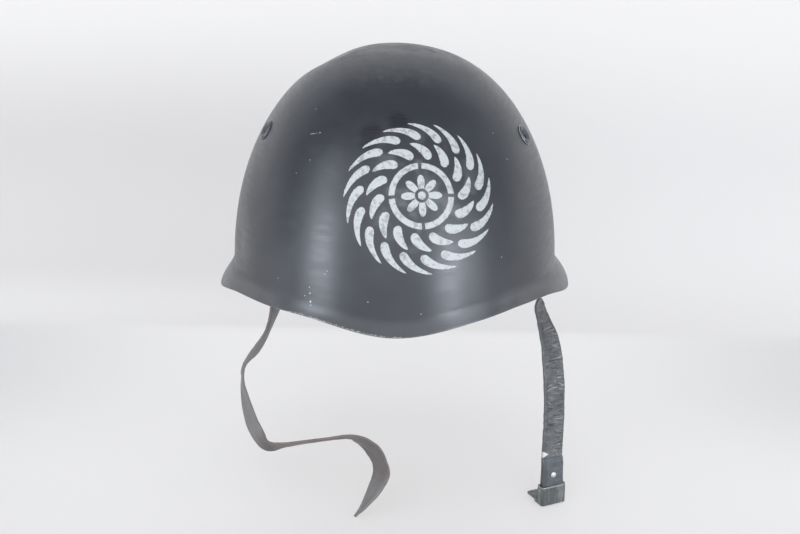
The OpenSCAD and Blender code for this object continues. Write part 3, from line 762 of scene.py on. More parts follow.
@dataclass(frozen=True)
class WornPaint:
    """Matt military paint over steel, worn on patches and edges.

    The amount of wear goes from 0 to 1, bands is the strength of broad rubbed bands along the piece, and
    above the height worn_above, in millimetres, the paint is rubbed through.
    """

    name: str
    colour: Colour
    worn: Colour
    amount: float = 0.5
    scale: float = 0.25
    roughness: float = 0.5
    bands: float = 0.0
    worn_above: float = 0.0
    darkest: float = 0.72

    def build(self) -> bpy.types.Material:
        """Makes the material.

        Returns:
            The finished material.
        """
        g = Graph(self.name)
        place = g.place()
        mottle = g.noise(place, self.scale * 0.4, 4, 0.6)
        colour = g.mix(g.ramp(mottle, 0.35, 0.65), shade(self.colour, self.darkest), self.colour)
        if self.bands:
            rubbed = g.noise(g.vector("MULTIPLY", place, (0.28, 0.28, 0.05)), 1.0, 4, 0.6)
            colour = g.mix(g.ramp(rubbed, 0.46, 0.66, 0.0, self.bands), colour, self.worn)
        bare = self._bare(g, place)
        g.set("Base Color", g.mix(bare, colour, self.worn))
        g.set("Metallic", g.times(bare, 0.7))
        rough = g.ramp(mottle, 0.3, 0.7, self.roughness - 0.06, self.roughness + 0.08)
        g.set("Roughness", g.blend(bare, rough, 0.33))
        skin = g.bump(g.noise(place, 1.2, 3, 0.5), 0.00005, 0.6)
        g.set("Normal", g.bump(g.times(bare, -1.0), 0.00008, 0.7, skin))
        return g.material

    def _bare(self, g: Graph, place: object) -> bpy.types.NodeSocket:
        """Adds the patches, scratches and edges where the paint is gone.

        Args:
            g: The graph.
            place: The place on the piece in millimetres.

        Returns:
            Their cover.
        """
        least = 0.74 - 0.2 * self.amount
        bare = g.ramp(g.noise(place, self.scale, 6, 0.72), least, least + 0.04)
        scratches = g.noise(g.vector("MULTIPLY", place, (0.25, 0.9, 0.12)), 1.0, 6, 0.7)
        bare = g.math("MAXIMUM", bare, g.ramp(scratches, 0.70, 0.74))
        if self.worn_above:
            uneven = g.minus(g.noise(place, 0.5, 3), 0.5)
            height = g.math("MULTIPLY_ADD", uneven, 1.2, g.parts(place)[2])
            edge = g.ramp(height, self.worn_above - 0.5, self.worn_above, 0.0, 0.8)
            bare = g.math("MAXIMUM", bare, edge)
        return bare


@dataclass(frozen=True)
class DullSteel:
    """Bare steel hardware, dull, stained and finely brushed."""

    name: str = "dull_steel"
    bright: Colour = (0.56, 0.55, 0.53)
    stained: Colour = (0.20, 0.17, 0.14)
    brushed: Triple = (0.4, 0.4, 2.2)
    darkest: float = 0.8

    def build(self) -> bpy.types.Material:
        """Makes the material.

        Returns:
            The finished material.
        """
        g = Graph(self.name)
        place = g.place()
        stain = g.ramp(g.noise(place, 0.3, 5, 0.65), 0.46, 0.70)
        brush = g.noise(g.vector("MULTIPLY", place, self.brushed), 1.0, 3, 0.6)
        bright = g.mix(g.ramp(brush, 0.3, 0.7), shade(self.bright, self.darkest), self.bright)
        g.set("Base Color", g.mix(stain, bright, self.stained))
        g.set("Metallic", g.blend(stain, 1.0, 0.45))
        g.set("Roughness", g.plus(g.ramp(brush, 0.3, 0.7, 0.28, 0.40), g.times(stain, 0.25)))
        g.set("Normal", g.bump(brush, 0.00003, 0.6))
        return g.material


@dataclass(frozen=True)
class StrapLeather:
    """Old strap leather in its own coordinates, across and along the strap.

    Lengths are in millimetres. Creases fade out towards one edge between the two places in pressed. The crest
    colour lightens the creases as a painted highlight, partly rubbed wear, and their grooves are darkened as
    painted shade. Stretches given as pairs of places along the strap are painted lighter, a painted sheen
    where the strap catches the light, and wrinkled is one that is finely wrinkled. The nick is its place
    along the strap, its half height and its depth.
    """

    name: str
    face: Colour
    back: Colour
    # Lighter colour on the creases: a painted highlight, partly rubbed wear.
    crest: Colour
    edge: Colour
    crease: float
    crease_height: float
    roughness: float
    pressed: tuple = ()
    # Stretches painted lighter along the strap: a painted sheen where it catches the light.
    sheen_stretches: tuple = ()
    sheen_colour: Colour = (0.25, 0.245, 0.252)
    sheen_fade: float = 9.0
    nick: tuple = ()
    nick_colour: Colour = (0.80, 0.80, 0.82)
    wrinkled: tuple = ()
    half_width: float = 8.5
    mottled: float = 0.62
    # Darkening of the folds' and the wrinkles' grooves: painted shade.
    fold_groove_shade: float = 0.35
    wrinkle_groove_shade: float = 0.30

    def build(self) -> bpy.types.Material:
        """Makes the material.

        Returns:
            The finished material.
        """
        g = Graph(self.name)
        creased = self._creases(g)
        mottle = g.noise(g.along((0.16, 0.07, 0.3)), 1.0, 4, 0.6)
        rubbed = g.ramp(g.noise(g.along((0.5, 1.1, 0.4)), 1.0, 5, 0.7), 0.5, 0.72)
        colour = g.mix(g.ramp(g.attribute("face"), -0.2, 0.2), self.back, self.face)
        colour = g.mix(g.ramp(mottle, 0.35, 0.7, 0.0, 0.5), colour, shade(self.face, self.mottled))
        # Crease ridges lightened with the crest colour: a painted highlight, partly rubbed wear.
        colour = g.mix(g.times(creased, g.math("MULTIPLY_ADD", rubbed, 0.6, 0.25)), colour, self.crest)
        # Painted sheen on the stretches given as pairs along the strap.
        if self.sheen_stretches:
            colour = g.mix(self._painted_sheen(g, mottle), colour, self.sheen_colour)
        if self.wrinkled:
            colour, creased = self._wrinkles(g, colour, creased)
        height = g.attribute("crest")
        # Fold crests lightened as a painted highlight, partly rubbed wear, and fold grooves darkened as
        # painted shade.
        crest_highlight_and_wear = g.times(g.ramp(height, 0.2, 0.8, 0.0, 0.9), g.ramp(rubbed, 0.1, 0.8, 0.55, 1.0))
        colour = g.mix(crest_highlight_and_wear, colour, self.crest)
        colour = g.mix(g.ramp(height, -0.1, -0.7, 0.0, 0.75), colour, shade(self.face, self.fold_groove_shade))
        cut = self._cut_edge(g)
        colour = g.mix(cut, colour, self.edge)
        if self.nick:
            colour = g.mix(self._nicked(g), colour, self.nick_colour)
        g.set("Base Color", colour)
        rough = g.ramp(mottle, 0.3, 0.7, self.roughness - 0.07, self.roughness + 0.07)
        g.set("Roughness", g.plus(rough, g.times(cut, 0.2)))
        pores = g.cells(g.along((1.0, 1.0, 1.0)), 1.35)
        fine = g.bump(g.ramp(pores.outputs["Distance"], 0.0, 0.55), 0.00008, 0.55)
        g.set("Normal", g.bump(creased, self.crease_height, 0.9, fine))
        return g.material

    def _creases(self, g: Graph) -> bpy.types.NodeSocket:
        """Adds the soft creases that cross the strap in patches.

        Args:
            g: The graph.

        Returns:
            Their height, from 0 to 1.
        """
        lines = g.noise(g.along((0.10, 0.62, 0.4)), 1.0, 6, 0.62, 0.6)
        ridges = g.minus(1.0, g.times(g.absolute(g.minus(lines, 0.5)), 7.0))
        ridges = g.math("MAXIMUM", ridges, 0.0)
        region = g.ramp(g.noise(g.along((0.05, 0.045, 0.3)), 1.0, 3, 0.5), 0.36, 0.62, 0.25, 1.0)
        creased = g.times(g.times(ridges, region), self.crease)
        if self.pressed:
            creased = g.times(creased, g.ramp(g.attribute("across"), *self.pressed))
        return creased

    def _painted_sheen(self, g: Graph, mottle: object) -> bpy.types.NodeSocket:
        """Adds the stretches painted lighter, a painted sheen where the strap catches the light.

        Args:
            g: The graph.
            mottle: The leather's mottling.

        Returns:
            Their cover.
        """
        along, fade = g.attribute("along"), self.sheen_fade
        zones = []
        for start, end in self.sheen_stretches:
            risen = g.ramp(along, start - fade, start + fade)
            zones.append(g.times(risen, g.ramp(along, end + fade, end - fade)))
        return g.times(g.largest(zones), g.ramp(mottle, 0.3, 0.65, 1.0, 0.75))

    def _cut_edge(self, g: Graph) -> bpy.types.NodeSocket:
        """Adds the raw cut edges, a little frayed.

        Args:
            g: The graph.

        Returns:
            Their cover.
        """
        off = g.absolute(g.attribute("across"))
        uneven = g.minus(g.noise(g.along((0.3, 0.35, 1.0)), 1.0, 4, 0.7), 0.5)
        frayed = g.math("MULTIPLY_ADD", uneven, 0.9, off)
        return g.ramp(frayed, self.half_width - 0.25, self.half_width - 0.02)

    def _wrinkles(self, g: Graph, colour: object, creased: object) -> tuple[object, object]:
        """Adds fine wrinkles right across the strap, darkened in their grooves as painted shade and lightened
        on their crests as a painted highlight, partly rubbed wear.

        Args:
            g: The graph.
            colour: The leather's colour so far.
            creased: The creases' height so far.

        Returns:
            The new colour and the new height.
        """
        along, (start, end) = g.attribute("along"), self.wrinkled
        zone = g.times(g.ramp(along, start - 4, start + 4), g.ramp(along, end + 2, end - 4))
        inside = g.ramp(g.attribute("across"), self.half_width - 1.2, self.half_width - 3.5)
        patchy = g.ramp(g.noise(g.along((0.09, 0.10, 0.7)), 1.0, 3, 0.5), 0.36, 0.60, 0.25, 1.0)
        zone = g.times(g.times(zone, inside), patchy)
        waves = g.noise(g.along((0.13, 0.80, 0.9)), 1.0, 4, 0.6, 0.5)
        groove = g.times(g.ramp(waves, 0.50, 0.36), zone)
        top = g.times(g.ramp(waves, 0.57, 0.70), zone)
        # Painted shade in the wrinkles' grooves and a painted highlight on their crests.
        colour = g.mix(g.times(groove, 0.75), colour, shade(self.face, self.wrinkle_groove_shade))
        colour = g.mix(g.times(top, 0.5), colour, self.crest)
        return colour, g.plus(creased, g.times(g.minus(top, groove), 0.35))

    def _nicked(self, g: Graph) -> bpy.types.NodeSocket:
        """Adds the three-cornered patch worn through at one edge.

        Args:
            g: The graph.

        Returns:
            Its cover.
        """
        at, half, depth = self.nick
        inward = g.minus(self.half_width, g.attribute("across"))
        limit = g.math("MULTIPLY_ADD", inward, -half / depth, half)
        away = g.absolute(g.minus(g.attribute("along"), at))
        rough = g.minus(g.noise(g.along((0.5, 0.5, 0.5)), 1.0, 4, 0.7), 0.5)
        cover = g.ramp(g.minus(g.math("MULTIPLY_ADD", rough, 1.4, limit), away), -0.3, 0.5)
        return g.times(cover, g.ramp(inward, 0.1, 1.1, 0.45, 1.0))


@dataclass(frozen=True)
class LinerLeather:
    """Smooth brown lining leather, darkened and polished by wear.

    It is darkened by sweat between the two heights in sweaty, in millimetres.
    """

    name: str = "liner_leather"
    colour: Colour = (0.21, 0.105, 0.05)
    dark: Colour = (0.075, 0.036, 0.02)
    lightest: float = 1.5
    sweaty: tuple = (40.0, 22.0)

    def build(self) -> bpy.types.Material:
        """Makes the material.

        Returns:
            The finished material.
        """
        g = Graph(self.name)
        place = g.place()
        mottle = g.noise(place, 0.045, 5, 0.6)
        fine = g.noise(place, 0.4, 4, 0.6)
        colour = g.mix(g.ramp(mottle, 0.34, 0.66), self.dark, self.colour)
        colour = g.mix(g.ramp(fine, 0.45, 0.7, 0.0, 0.35), colour, shade(self.colour, self.lightest))
        sweat = g.times(g.ramp(g.parts(place)[2], *self.sweaty), g.ramp(fine, 0.35, 0.6, 0.4, 1.0))
        g.set("Base Color", g.mix(g.times(sweat, 0.7), colour, self.dark))
        g.set("Roughness", g.ramp(mottle, 0.3, 0.7, 0.42, 0.6))
        pores = g.cells(place, 1.3)
        wrinkles = g.noise(g.vector("MULTIPLY", place, (1.0, 1.0, 0.3)), 0.22, 5, 0.6, 0.8)
        under = g.bump(g.ramp(pores.outputs["Distance"], 0.0, 0.6), 0.00007, 0.6)
        g.set("Normal", g.bump(wrinkles, 0.0006, 0.5, under))
        return g.material


@dataclass(frozen=True)
class Felt:
    """Grey-green wool felt with loose fibres."""

    name: str = "wool_felt"
    colour: Colour = (0.16, 0.165, 0.125)
    loose: Colour = (0.26, 0.24, 0.19)
    darkest: float = 0.55
    lightest: float = 1.35
    roughness: float = 0.95
    sheen: float = 0.3

    def build(self) -> bpy.types.Material:
        """Makes the material.

        Returns:
            The finished material.
        """
        g = Graph(self.name)
        place = g.place()
        fibres = g.noise(g.vector("MULTIPLY", place, (2.4, 2.4, 0.9)), 1.0, 6, 0.75, 1.4)
        clumps = g.noise(place, 0.5, 4, 0.6)
        dark, light = shade(self.colour, self.darkest), shade(self.colour, self.lightest)
        colour = g.mix(g.ramp(fibres, 0.3, 0.7), dark, light)
        g.set("Base Color", g.mix(g.ramp(clumps, 0.4, 0.75, 0.0, 0.4), colour, self.loose))
        g.set("Roughness", self.roughness)
        g.set("Sheen Weight", self.sheen)
        under = g.bump(clumps, 0.0005, 0.7)
        g.set("Normal", g.bump(fibres, 0.00025, 0.9, under))
        return g.material


@dataclass(frozen=True)
class BraidedCord:
    """Round braided lace in its own coordinates round and along the cord."""

    name: str = "braided_lace"
    colour: Colour = (0.14, 0.10, 0.065)
    fuzz: Colour = (0.24, 0.19, 0.13)
    # Share of the colour left between the strands, as painted shade.
    darkest: float = 0.45
    pitch: float = 2.6
    strands: float = 4.0
    roughness: float = 0.85
    sheen: float = 0.2

    def build(self) -> bpy.types.Material:
        """Makes the material.

        Returns:
            The finished material.
        """
        g = Graph(self.name)
        rounds, along = g.attribute("across"), g.math("DIVIDE", g.attribute("along"), self.pitch)
        strands = []
        for way in (1.0, -1.0):
            lead = g.math("MULTIPLY_ADD", rounds, self.strands * way, along)
            strands.append(g.absolute(g.math("SINE", g.times(lead, math.pi))))
        braid = g.times(strands[0], strands[1])
        fuzz = g.noise(g.place(), 2.5, 5, 0.7)
        # Darker between the strands: painted shade in the braid's grooves.
        colour = g.mix(g.ramp(braid, 0.05, 0.6), shade(self.colour, self.darkest), self.colour)
        g.set("Base Color", g.mix(g.ramp(fuzz, 0.4, 0.75, 0.0, 0.45), colour, self.fuzz))
        g.set("Roughness", self.roughness)
        g.set("Sheen Weight", self.sheen)
        under = g.bump(braid, 0.00035, 0.9)
        g.set("Normal", g.bump(fuzz, 0.00012, 0.7, under))
        return g.material


class Loft:
    """Grows a mesh ring by ring from a circle, by extruding its last ring."""

    START_RADIUS = 0.01

    def __init__(self, name: str, ring: Sequence[Vector], pole: Vector | None = None) -> None:
        """Adds the first ring.

        Args:
            name: The piece's name.
            ring: The first ring's places in millimetres.
            pole: Point that closes the first ring, if it is closed.
        """
        deselect_all()
        bpy.ops.mesh.primitive_circle_add(
            vertices=len(ring), radius=self.START_RADIUS, fill_type="TRIFAN" if pole else "NOTHING")
        self.obj = bpy.context.object
        self.obj.name = self.obj.data.name = name
        self.rows = 1
        bpy.ops.object.mode_set(mode="EDIT")
        bm = self._mesh()
        self.column = bm.verts.layers.int.new("column")
        self.row = bm.verts.layers.int.new("row")
        outer = [v for v in bm.verts if v.co.length > self.START_RADIUS / 2]
        outer.sort(key=lambda v: math.atan2(v.co.y, v.co.x))
        for i, v in enumerate(outer):
            v[self.column] = i
        for v in bm.verts:
            if v not in outer:
                v[self.column] = -1
                v.co = pole * MM
            v.select_set(v in outer)
        for f in bm.faces:
            f.select_set(False)
        for e in bm.edges:
            e.select_set(all(v[self.column] >= 0 for v in e.verts))
        bm.select_mode = {"EDGE"}
        bpy.context.tool_settings.mesh_select_mode = (False, True, False)
        self._place(ring)

    def _mesh(self) -> bmesh.types.BMesh:
        """Returns the mesh in edit mode."""
        return bmesh.from_edit_mesh(self.obj.data)

    def _place(self, ring: Sequence[Vector]) -> None:
        """Puts the selected ring's vertices in their places.

        Args:
            ring: The places in millimetres.
        """
        bm = self._mesh()
        column = bm.verts.layers.int["column"]
        row = bm.verts.layers.int["row"]
        for v in bm.verts:
            if v.select and v[column] >= 0:
                v.co = ring[v[column]] * MM
                v[row] = self.rows
        bmesh.update_edit_mesh(self.obj.data)

    def add(self, ring: Sequence[Vector]) -> None:
        """Extrudes the last ring to the next one.

        Args:
            ring: The next ring's places in millimetres.
        """
        bpy.ops.mesh.extrude_region_move()
        self.rows += 1
        self._place(ring)

    def close(self) -> None:
        """Fills the open ends."""
        bpy.ops.mesh.select_all(action="SELECT")
        bpy.ops.mesh.fill_holes(sides=0)

    def finish(self, closed: bool = True) -> bpy.types.Object:
        """Turns the faces outwards and leaves edit mode.

        Args:
            closed: Whether the form is closed, so that it has an outside.

        Returns:
            The piece.
        """
        if closed:
            bpy.ops.mesh.select_all(action="SELECT")
            bpy.ops.mesh.normals_make_consistent(inside=False)
        bpy.ops.object.mode_set(mode="OBJECT")
        return self.obj

    def label(self, name: str, value: Callable[[int, int], float]) -> None:
        """Writes a vertex attribute from each vertex's column and row.

        Args:
            name: The attribute's name.
            value: Gives the number for a column and a row.
        """
        mesh = self.obj.data
        columns = [a.value for a in mesh.attributes["column"].data]
        rows = [a.value for a in mesh.attributes["row"].data]
        layer = mesh.attributes.new(name, "FLOAT", "POINT")
        layer.data.foreach_set("value", [value(c, r - 1) for c, r in zip(columns, rows)])


@dataclass
class Shell:
    """Pressed steel dome with its flared rim, as one smooth sheet.

    Lengths are in millimetres. Rises, flares and bends are the rim's height, how far it stands out and the
    height of its bend over the rim, every 30 degrees from front to back. A dent is a centre, a radius and
    a depth.
    """

    half_width: float = 112.0
    front: float = 127.5
    back: float = 131.0
    height: float = 167.0
    widest: float = 22.0
    fullness: float = 2.4
    wall: float = 1.2
    bend_length: float = 4.5
    rim_bevel: float = 0.2
    rises: tuple = (11.0, 17.5, 16.5, 0.0, 1.0, 1.0, 1.0)
    flares: tuple = (4.0, 3.5, 7.0, 10.4, 13.0, 13.0, 13.0)
    bends: tuple = (7.0, 6.5, 7.5, 16.5, 14.5, 14.5, 14.5)
    bent_side: float = 1.2
    bent_front: float = 1.85
    vent_angles: tuple = (78.0, -78.0, 180.0)
    vent_height: float = 116.0
    vent_hole: float = 4.1
    cutter_length: float = 12.0
    rim_zone: float = 60.0
    press: float = 0.16
    waves: float = 0.022
    middle: Triple = (0.0, 0.0, 30.0)
    columns: int = 144
    dome_rows: int = 40
    flare_rows: int = 12
    dents: tuple = (
        (-12.0, 12.0, 166.0, 9.0, 0.9), (-44.0, 26.0, 156.0, 15.0, 2.0), (24.0, 10.0, 164.0, 15.0, 0.7),
        (-105.0, -40.0, 42.0, 16.0, 1.7), (-52.0, 30.0, 150.0, 16.0, 0.7), (60.0, -20.0, 145.0, 20.0, 0.5),
        (30.0, 90.0, 120.0, 18.0, 0.8), (-80.0, 60.0, 70.0, 22.0, 0.6),
    )

    def rim_value(self, values: Sequence[float], angle: float) -> float:
        """Reads a value round the rim, mirrored left to right.

        Args:
            values: The values every 30 degrees from front to back.
            angle: Degrees from the front.

        Returns:
            The value there.
        """
        turn = (angle % 360) / 30
        i = math.floor(turn)
        near = [(values[6 - abs(6 - ((i + k) % 12))],) for k in (-1, 0, 1, 2)]
        return blended(near, 1 + turn - i)[0]

    def length(self, angle: float) -> float:
        """Returns the half length that holds at an angle."""
        return self.front if math.cos(math.radians(angle)) > 0 else self.back

    def span(self, z: float) -> float:
        """Narrows the dome towards its crown.

        Args:
            z: The height in millimetres.

        Returns:
            The share of the widest section at that height.
        """
        if z <= self.widest:
            return 1.0
        share = (z - self.widest) / (self.height - self.widest)
        return max(0.0, 1 - share * share) ** (1 / self.fullness)

    def dome(self, angle: float, z: float) -> Vector:
        """Returns the dome's point at an angle and height."""
        a, s = math.radians(angle), self.span(z)
        return Vector((self.half_width * math.sin(a) * s, -self.length(angle) * math.cos(a) * s, z))

    def normal(self, angle: float, z: float) -> Vector:
        """Works out which way the dome faces.

        Args:
            angle: Degrees from the front.
            z: The height in millimetres.

        Returns:
            The outward direction.
        """
        p, s, rise = self.dome(angle, z), self.span(z), self.height - self.widest
        side = self.fullness * s ** (self.fullness - 2)
        up = 2 * (z - self.widest) / rise / rise
        return unit(Vector((side * p.x / self.half_width**2, side * p.y / self.length(angle) ** 2, up)))

    def bent(self, angle: float) -> float:
        """Bends the rim up or down, as long use does.

        Args:
            angle: Degrees from the front.

        Returns:
            How far it is bent up there, in millimetres.
        """
        near = (angle + 180) % 360 - 180
        front = math.sin(math.radians(4 * near)) if abs(near) < 45 else 0.0
        return self.bent_side * math.sin(math.radians(near)) - self.bent_front * front

    def edge(self, angle: float) -> Vector:
        """Works out the rim's edge.

        Args:
            angle: Degrees from the front.

        Returns:
            The edge's point at that angle.
        """
        a = math.radians(angle)
        out = unit(Vector((math.sin(a) / self.half_width, -math.cos(a) / self.length(angle), 0)))
        foot = self.dome(angle, 0)
        foot.z = self.rim_value(self.rises, angle) + self.bent(angle)
        return foot + out * self.rim_value(self.flares, angle)

    def section(self, angle: float, row: int) -> Vector:
        """Returns the outer surface's point at an angle and row.

        Args:
            angle: Degrees from the front.
            row: 0 at the crown, then down the dome and over the flare.

        Returns:
            The point in millimetres.
        """
        bend = self.rim_value(self.rises, angle) + self.rim_value(self.bends, angle)
        start, rise = bend + self.bend_length, self.height - self.widest
        if row >= self.dome_rows:
            u = (row - self.dome_rows) / self.flare_rows
            top = self.dome(angle, start)
            corner = top - Vector((0, 0, self.bend_length))
            return (1 - u) ** 2 * top + 2 * u * (1 - u) * corner + u * u * self.edge(angle)
        last = math.acos(max(0.0, (start - self.widest) / rise))
        z = self.widest + rise * math.cos(last * row / self.dome_rows)
        return self.dented(self.dome(angle, z))

    def dented(self, p: Vector) -> Vector:
        """Moves a dome point inwards by the dents and the sheet's slight waves.

        Args:
            p: The point in millimetres.

        Returns:
            The moved point.
        """
        inwards = self.press + self.press * noise.noise(p * self.waves)
        for x, y, z, radius, depth in self.dents:
            away = (p - Vector((x, y, z))).length / radius
            inwards += depth * math.exp(-away * away)
        return p - unit(p - Vector(self.middle)) * inwards

    def build(self) -> bpy.types.Object:
        """Models the sheet and cuts its vent holes.

        Returns:
            The shell.
        """
        angles = [360 * i / self.columns for i in range(self.columns)]
        rows = [[self.section(a, r) for a in angles] for r in range(1, self.dome_rows + self.flare_rows + 1)]
        loft = Loft("helmet_shell", rows[0], self.dented(Vector((0, 0, self.height))))
        for ring in rows[1:]:
            loft.add(ring)
        obj = loft.finish(closed=False)
        self._face_outwards(obj)
        solid = obj.modifiers.new("wall", "SOLIDIFY")
        solid.thickness = self.wall * MM
        solid.offset = -1
        solid.use_even_offset = True
        solid.material_offset = 1
        obj.data.materials.append(None)
        obj.data.materials.append(None)
        bevel = obj.modifiers.new("rim_edge", "BEVEL")
        bevel.width = self.rim_bevel * MM
        bevel.segments = 2
        bevel.limit_method = "ANGLE"
        bevel.angle_limit = math.radians(60)
        apply_modifiers(obj)
        for angle in self.vent_angles:
            self._cut(obj, angle)
        self._label_rim(obj)
        smooth(obj, 40)
        return obj

    def _face_outwards(self, obj: bpy.types.Object) -> None:
        """Flips the sheet if its crown looks down.

        Args:
            obj: The sheet.
        """
        top = max(obj.data.polygons, key=lambda f: f.center.z)
        if top.normal.z < 0:
            select_only(obj)
            bpy.ops.object.mode_set(mode="EDIT")
            bpy.ops.mesh.select_all(action="SELECT")
            bpy.ops.mesh.flip_normals()
            bpy.ops.object.mode_set(mode="OBJECT")

    def _cut(self, obj: bpy.types.Object, angle: float) -> None:
        """Cuts one vent hole square to the sheet.

        Args:
            obj: The shell.
            angle: The vent's angle in degrees from the front.
        """
        out = self.normal(angle, self.vent_height)
        deselect_all()
        bpy.ops.mesh.primitive_cylinder_add(
            vertices=48, radius=self.vent_hole * MM, depth=self.cutter_length * MM,
            location=self.dome(angle, self.vent_height) * MM, rotation=out.to_track_quat("Z", "Y").to_euler())
        cutter = bpy.context.object
        cut = obj.modifiers.new("vent", "BOOLEAN")
        cut.operation = "DIFFERENCE"
        cut.solver = "EXACT"
        cut.object = cutter
        apply_modifiers(obj)
        bpy.data.objects.remove(cutter)

    def _label_rim(self, obj: bpy.types.Object) -> None:
        """Writes each vertex's distance from the rim's edge, in millimetres.

        Args:
            obj: The shell.
        """
        layer = obj.data.attributes.new("rim", "FLOAT", "POINT")
        far, values = self.rim_zone, []
        for v in obj.data.vertices:
            p = v.co / MM
            length = self.front if p.y < 0 else self.back
            angle = math.degrees(math.atan2(p.x / self.half_width, -p.y / length))
            values.append(min(far, (p - self.edge(angle)).length) if p.z < far else far)
        layer.data.foreach_set("value", values)

    def dress(self, paint: bpy.types.Material, lining: bpy.types.Material) -> None:
        """Models and dresses the shell.

        Args:
            paint: The outside's material.
            lining: The inside's material.
        """
        obj = self.build()
        dress(obj, Body.HELMET, paint, ["shell"])
        obj.data.materials[1] = lining


@dataclass
class VentRivets:
    """Three hollow rivets with a thin lip round a rolled head.

    Lengths are in millimetres. Bright is the share of painted highlight on each rivet's lip, and dish the
    share of painted light inside its head.
    """

    shell: Shell
    bore: float = 3.0
    tube: float = 4.0
    head: float = 7.2
    height: float = 1.3
    lip: float = 0.35
    lip_top: float = 0.34
    grip: float = 4.1
    rolled_width: float = 1.6
    rolled_height: float = 1.0
    names: tuple = ("left", "right", "rear")
    # Share of painted highlight on each rivet's lip.
    bright: tuple = (0.9, 0.25, 0.5)
    # Share of painted light inside each rivet's head.
    dish_painted_light: float = 0.16
    sides: int = 48

    def profile(self) -> list[tuple[float, float]]:
        """Draws the rivet's outline, from the bore's foot round to its mouth.

        Returns:
            Its points as radius and height over the shell.
        """
        bore, middle = self.bore, self.head - self.lip
        foot, rolled = -self.grip - self.rolled_height, self.tube + self.rolled_width
        end = [(bore, foot), (bore + 0.5, foot), (rolled - 0.4, foot + 0.02), (rolled, foot + 0.45),
               (rolled, -self.grip), (self.tube, -self.grip)]
        flange = [(self.tube, 0.05), (self.head - 0.2, -0.2), (self.head, -0.15)]
        lip = []
        for degrees in range(0, 181, 20):
            a = math.radians(degrees)
            lip.append((middle + self.lip * math.cos(a), self.lip_top - self.lip + self.lip * math.sin(a)))
        bead = [(bore + 3.4, 0.07), (bore + 3.3, 0.2), (bore + 3.2, 1.0), (bore + 3.0, self.height - 0.06),
                (bore + 2.8, self.height), (bore + 2.5, 1.2)]
        mouth = [(bore + 1.8, 0.85), (bore + 1.1, 0.55), (bore + 0.5, 0.25), (bore + 0.15, -0.2),
                 (bore, -0.8)]
        return end + flange + lip + bead + mouth

    def dress(self, paint: bpy.types.Material) -> None:
        """Models each vent's rivet by turning the outline, and dresses it.

        Args:
            paint: The shell's paint.
        """
        rings = [[Vector((r * math.cos(a), r * math.sin(a), z)) for a in self._angles()]
                 for r, z in self.profile()]
        for name, angle, bright in zip(self.names, self.shell.vent_angles, self.bright):
            out = self.shell.normal(angle, self.shell.vent_height)
            turn = out.to_track_quat("Z", "Y").to_matrix().to_4x4()
            at = Matrix.Translation(self.shell.dome(angle, self.shell.vent_height)) @ turn
            placed = [[at @ p for p in ring] for ring in rings]
            loft = Loft(f"vent_rivet_{name}_head", placed[0])
            for ring in placed[1:]:
                loft.add(ring)
            loft.add(placed[0])
            bpy.ops.mesh.select_all(action="SELECT")
            bpy.ops.mesh.remove_doubles(threshold=MERGED_WITHIN)
            obj = loft.finish()
            self._label(obj, at.inverted(), bright)
            smooth(obj, 50)
            dress(obj, Body.HELMET, paint, [f"vent_rivet_{name}"])

    def _angles(self) -> list[float]:
        """Returns the angles of a ring's points."""
        return [math.tau * i / self.sides for i in range(self.sides)]

    def _label(self, obj: bpy.types.Object, back: Matrix, bright: float) -> None:
        """Marks the rivet as far from the rim's edge, and gives its lip a painted highlight and the inside of
        its head painted light.

        Args:
            obj: The rivet.
            back: Turns the shell's coordinates into the rivet's own, in millimetres.
            bright: Share of painted highlight on its lip.
        """
        layer = obj.data.attributes.new("rim", "FLOAT", "POINT")
        layer.data.foreach_set("value", [self.shell.rim_zone] * len(obj.data.vertices))
        # Each vertex's share of painted highlight on the lip and of painted light inside the head.
        rubbed = []
        for v in obj.data.vertices:
            p = back @ (v.co * PER_METRE)
            share = 0.0
            if p.z > self.lip_top - self.lip and p.xy.length > self.bore + 0.1:
                share = bright if p.xy.length > self.head - 1.6 * self.lip else self.dish_painted_light
            rubbed.append(share)
        obj.data.attributes.new("lip", "FLOAT", "POINT").data.foreach_set("value", rubbed)


@dataclass
class FrameCopies:
    """Metal and lining pieces finished from merged copies of their CAD nodes.

    The bevel is in millimetres and the angles are in degrees.
    """

    frame: dict
    bevel: float = 0.15
    flat_within: float = 1.0
    bevelled_above: float = 40.0

    def make(self, node: str, body: Body, material: bpy.types.Material, angle: float = 30,
             bevel: bool = True) -> None:
        """Copies a node, merges and bevels it, and dresses it.

        Args:
            node: The CAD node.
            body: The body it rides on.
            material: Its material.
            angle: Degrees above which an edge is sharp.
            bevel: Whether its sharp edges are rounded.
        """
        source = self.frame["nodes"][node]
        obj = bpy.data.objects.new(f"{node}_finished", source.data.copy())
        bpy.context.scene.collection.objects.link(obj)
        obj.data.name = obj.name
        obj.data.materials.clear()
        select_only(obj)
        bpy.ops.object.mode_set(mode="EDIT")
        bpy.ops.mesh.select_all(action="SELECT")
        bpy.ops.mesh.remove_doubles(threshold=MERGED_WITHIN)
        if bevel:
            bpy.ops.mesh.dissolve_limited(angle_limit=math.radians(self.flat_within))
        bpy.ops.object.mode_set(mode="OBJECT")
        if bevel:
            rounded = obj.modifiers.new("edges", "BEVEL")
            rounded.width = self.bevel * MM
            rounded.segments = 2
            rounded.limit_method = "ANGLE"
            rounded.angle_limit = math.radians(self.bevelled_above)
            rounded.use_clamp_overlap = True
            apply_modifiers(obj)
        smooth(obj, angle)
        dress(obj, body, material, [node])


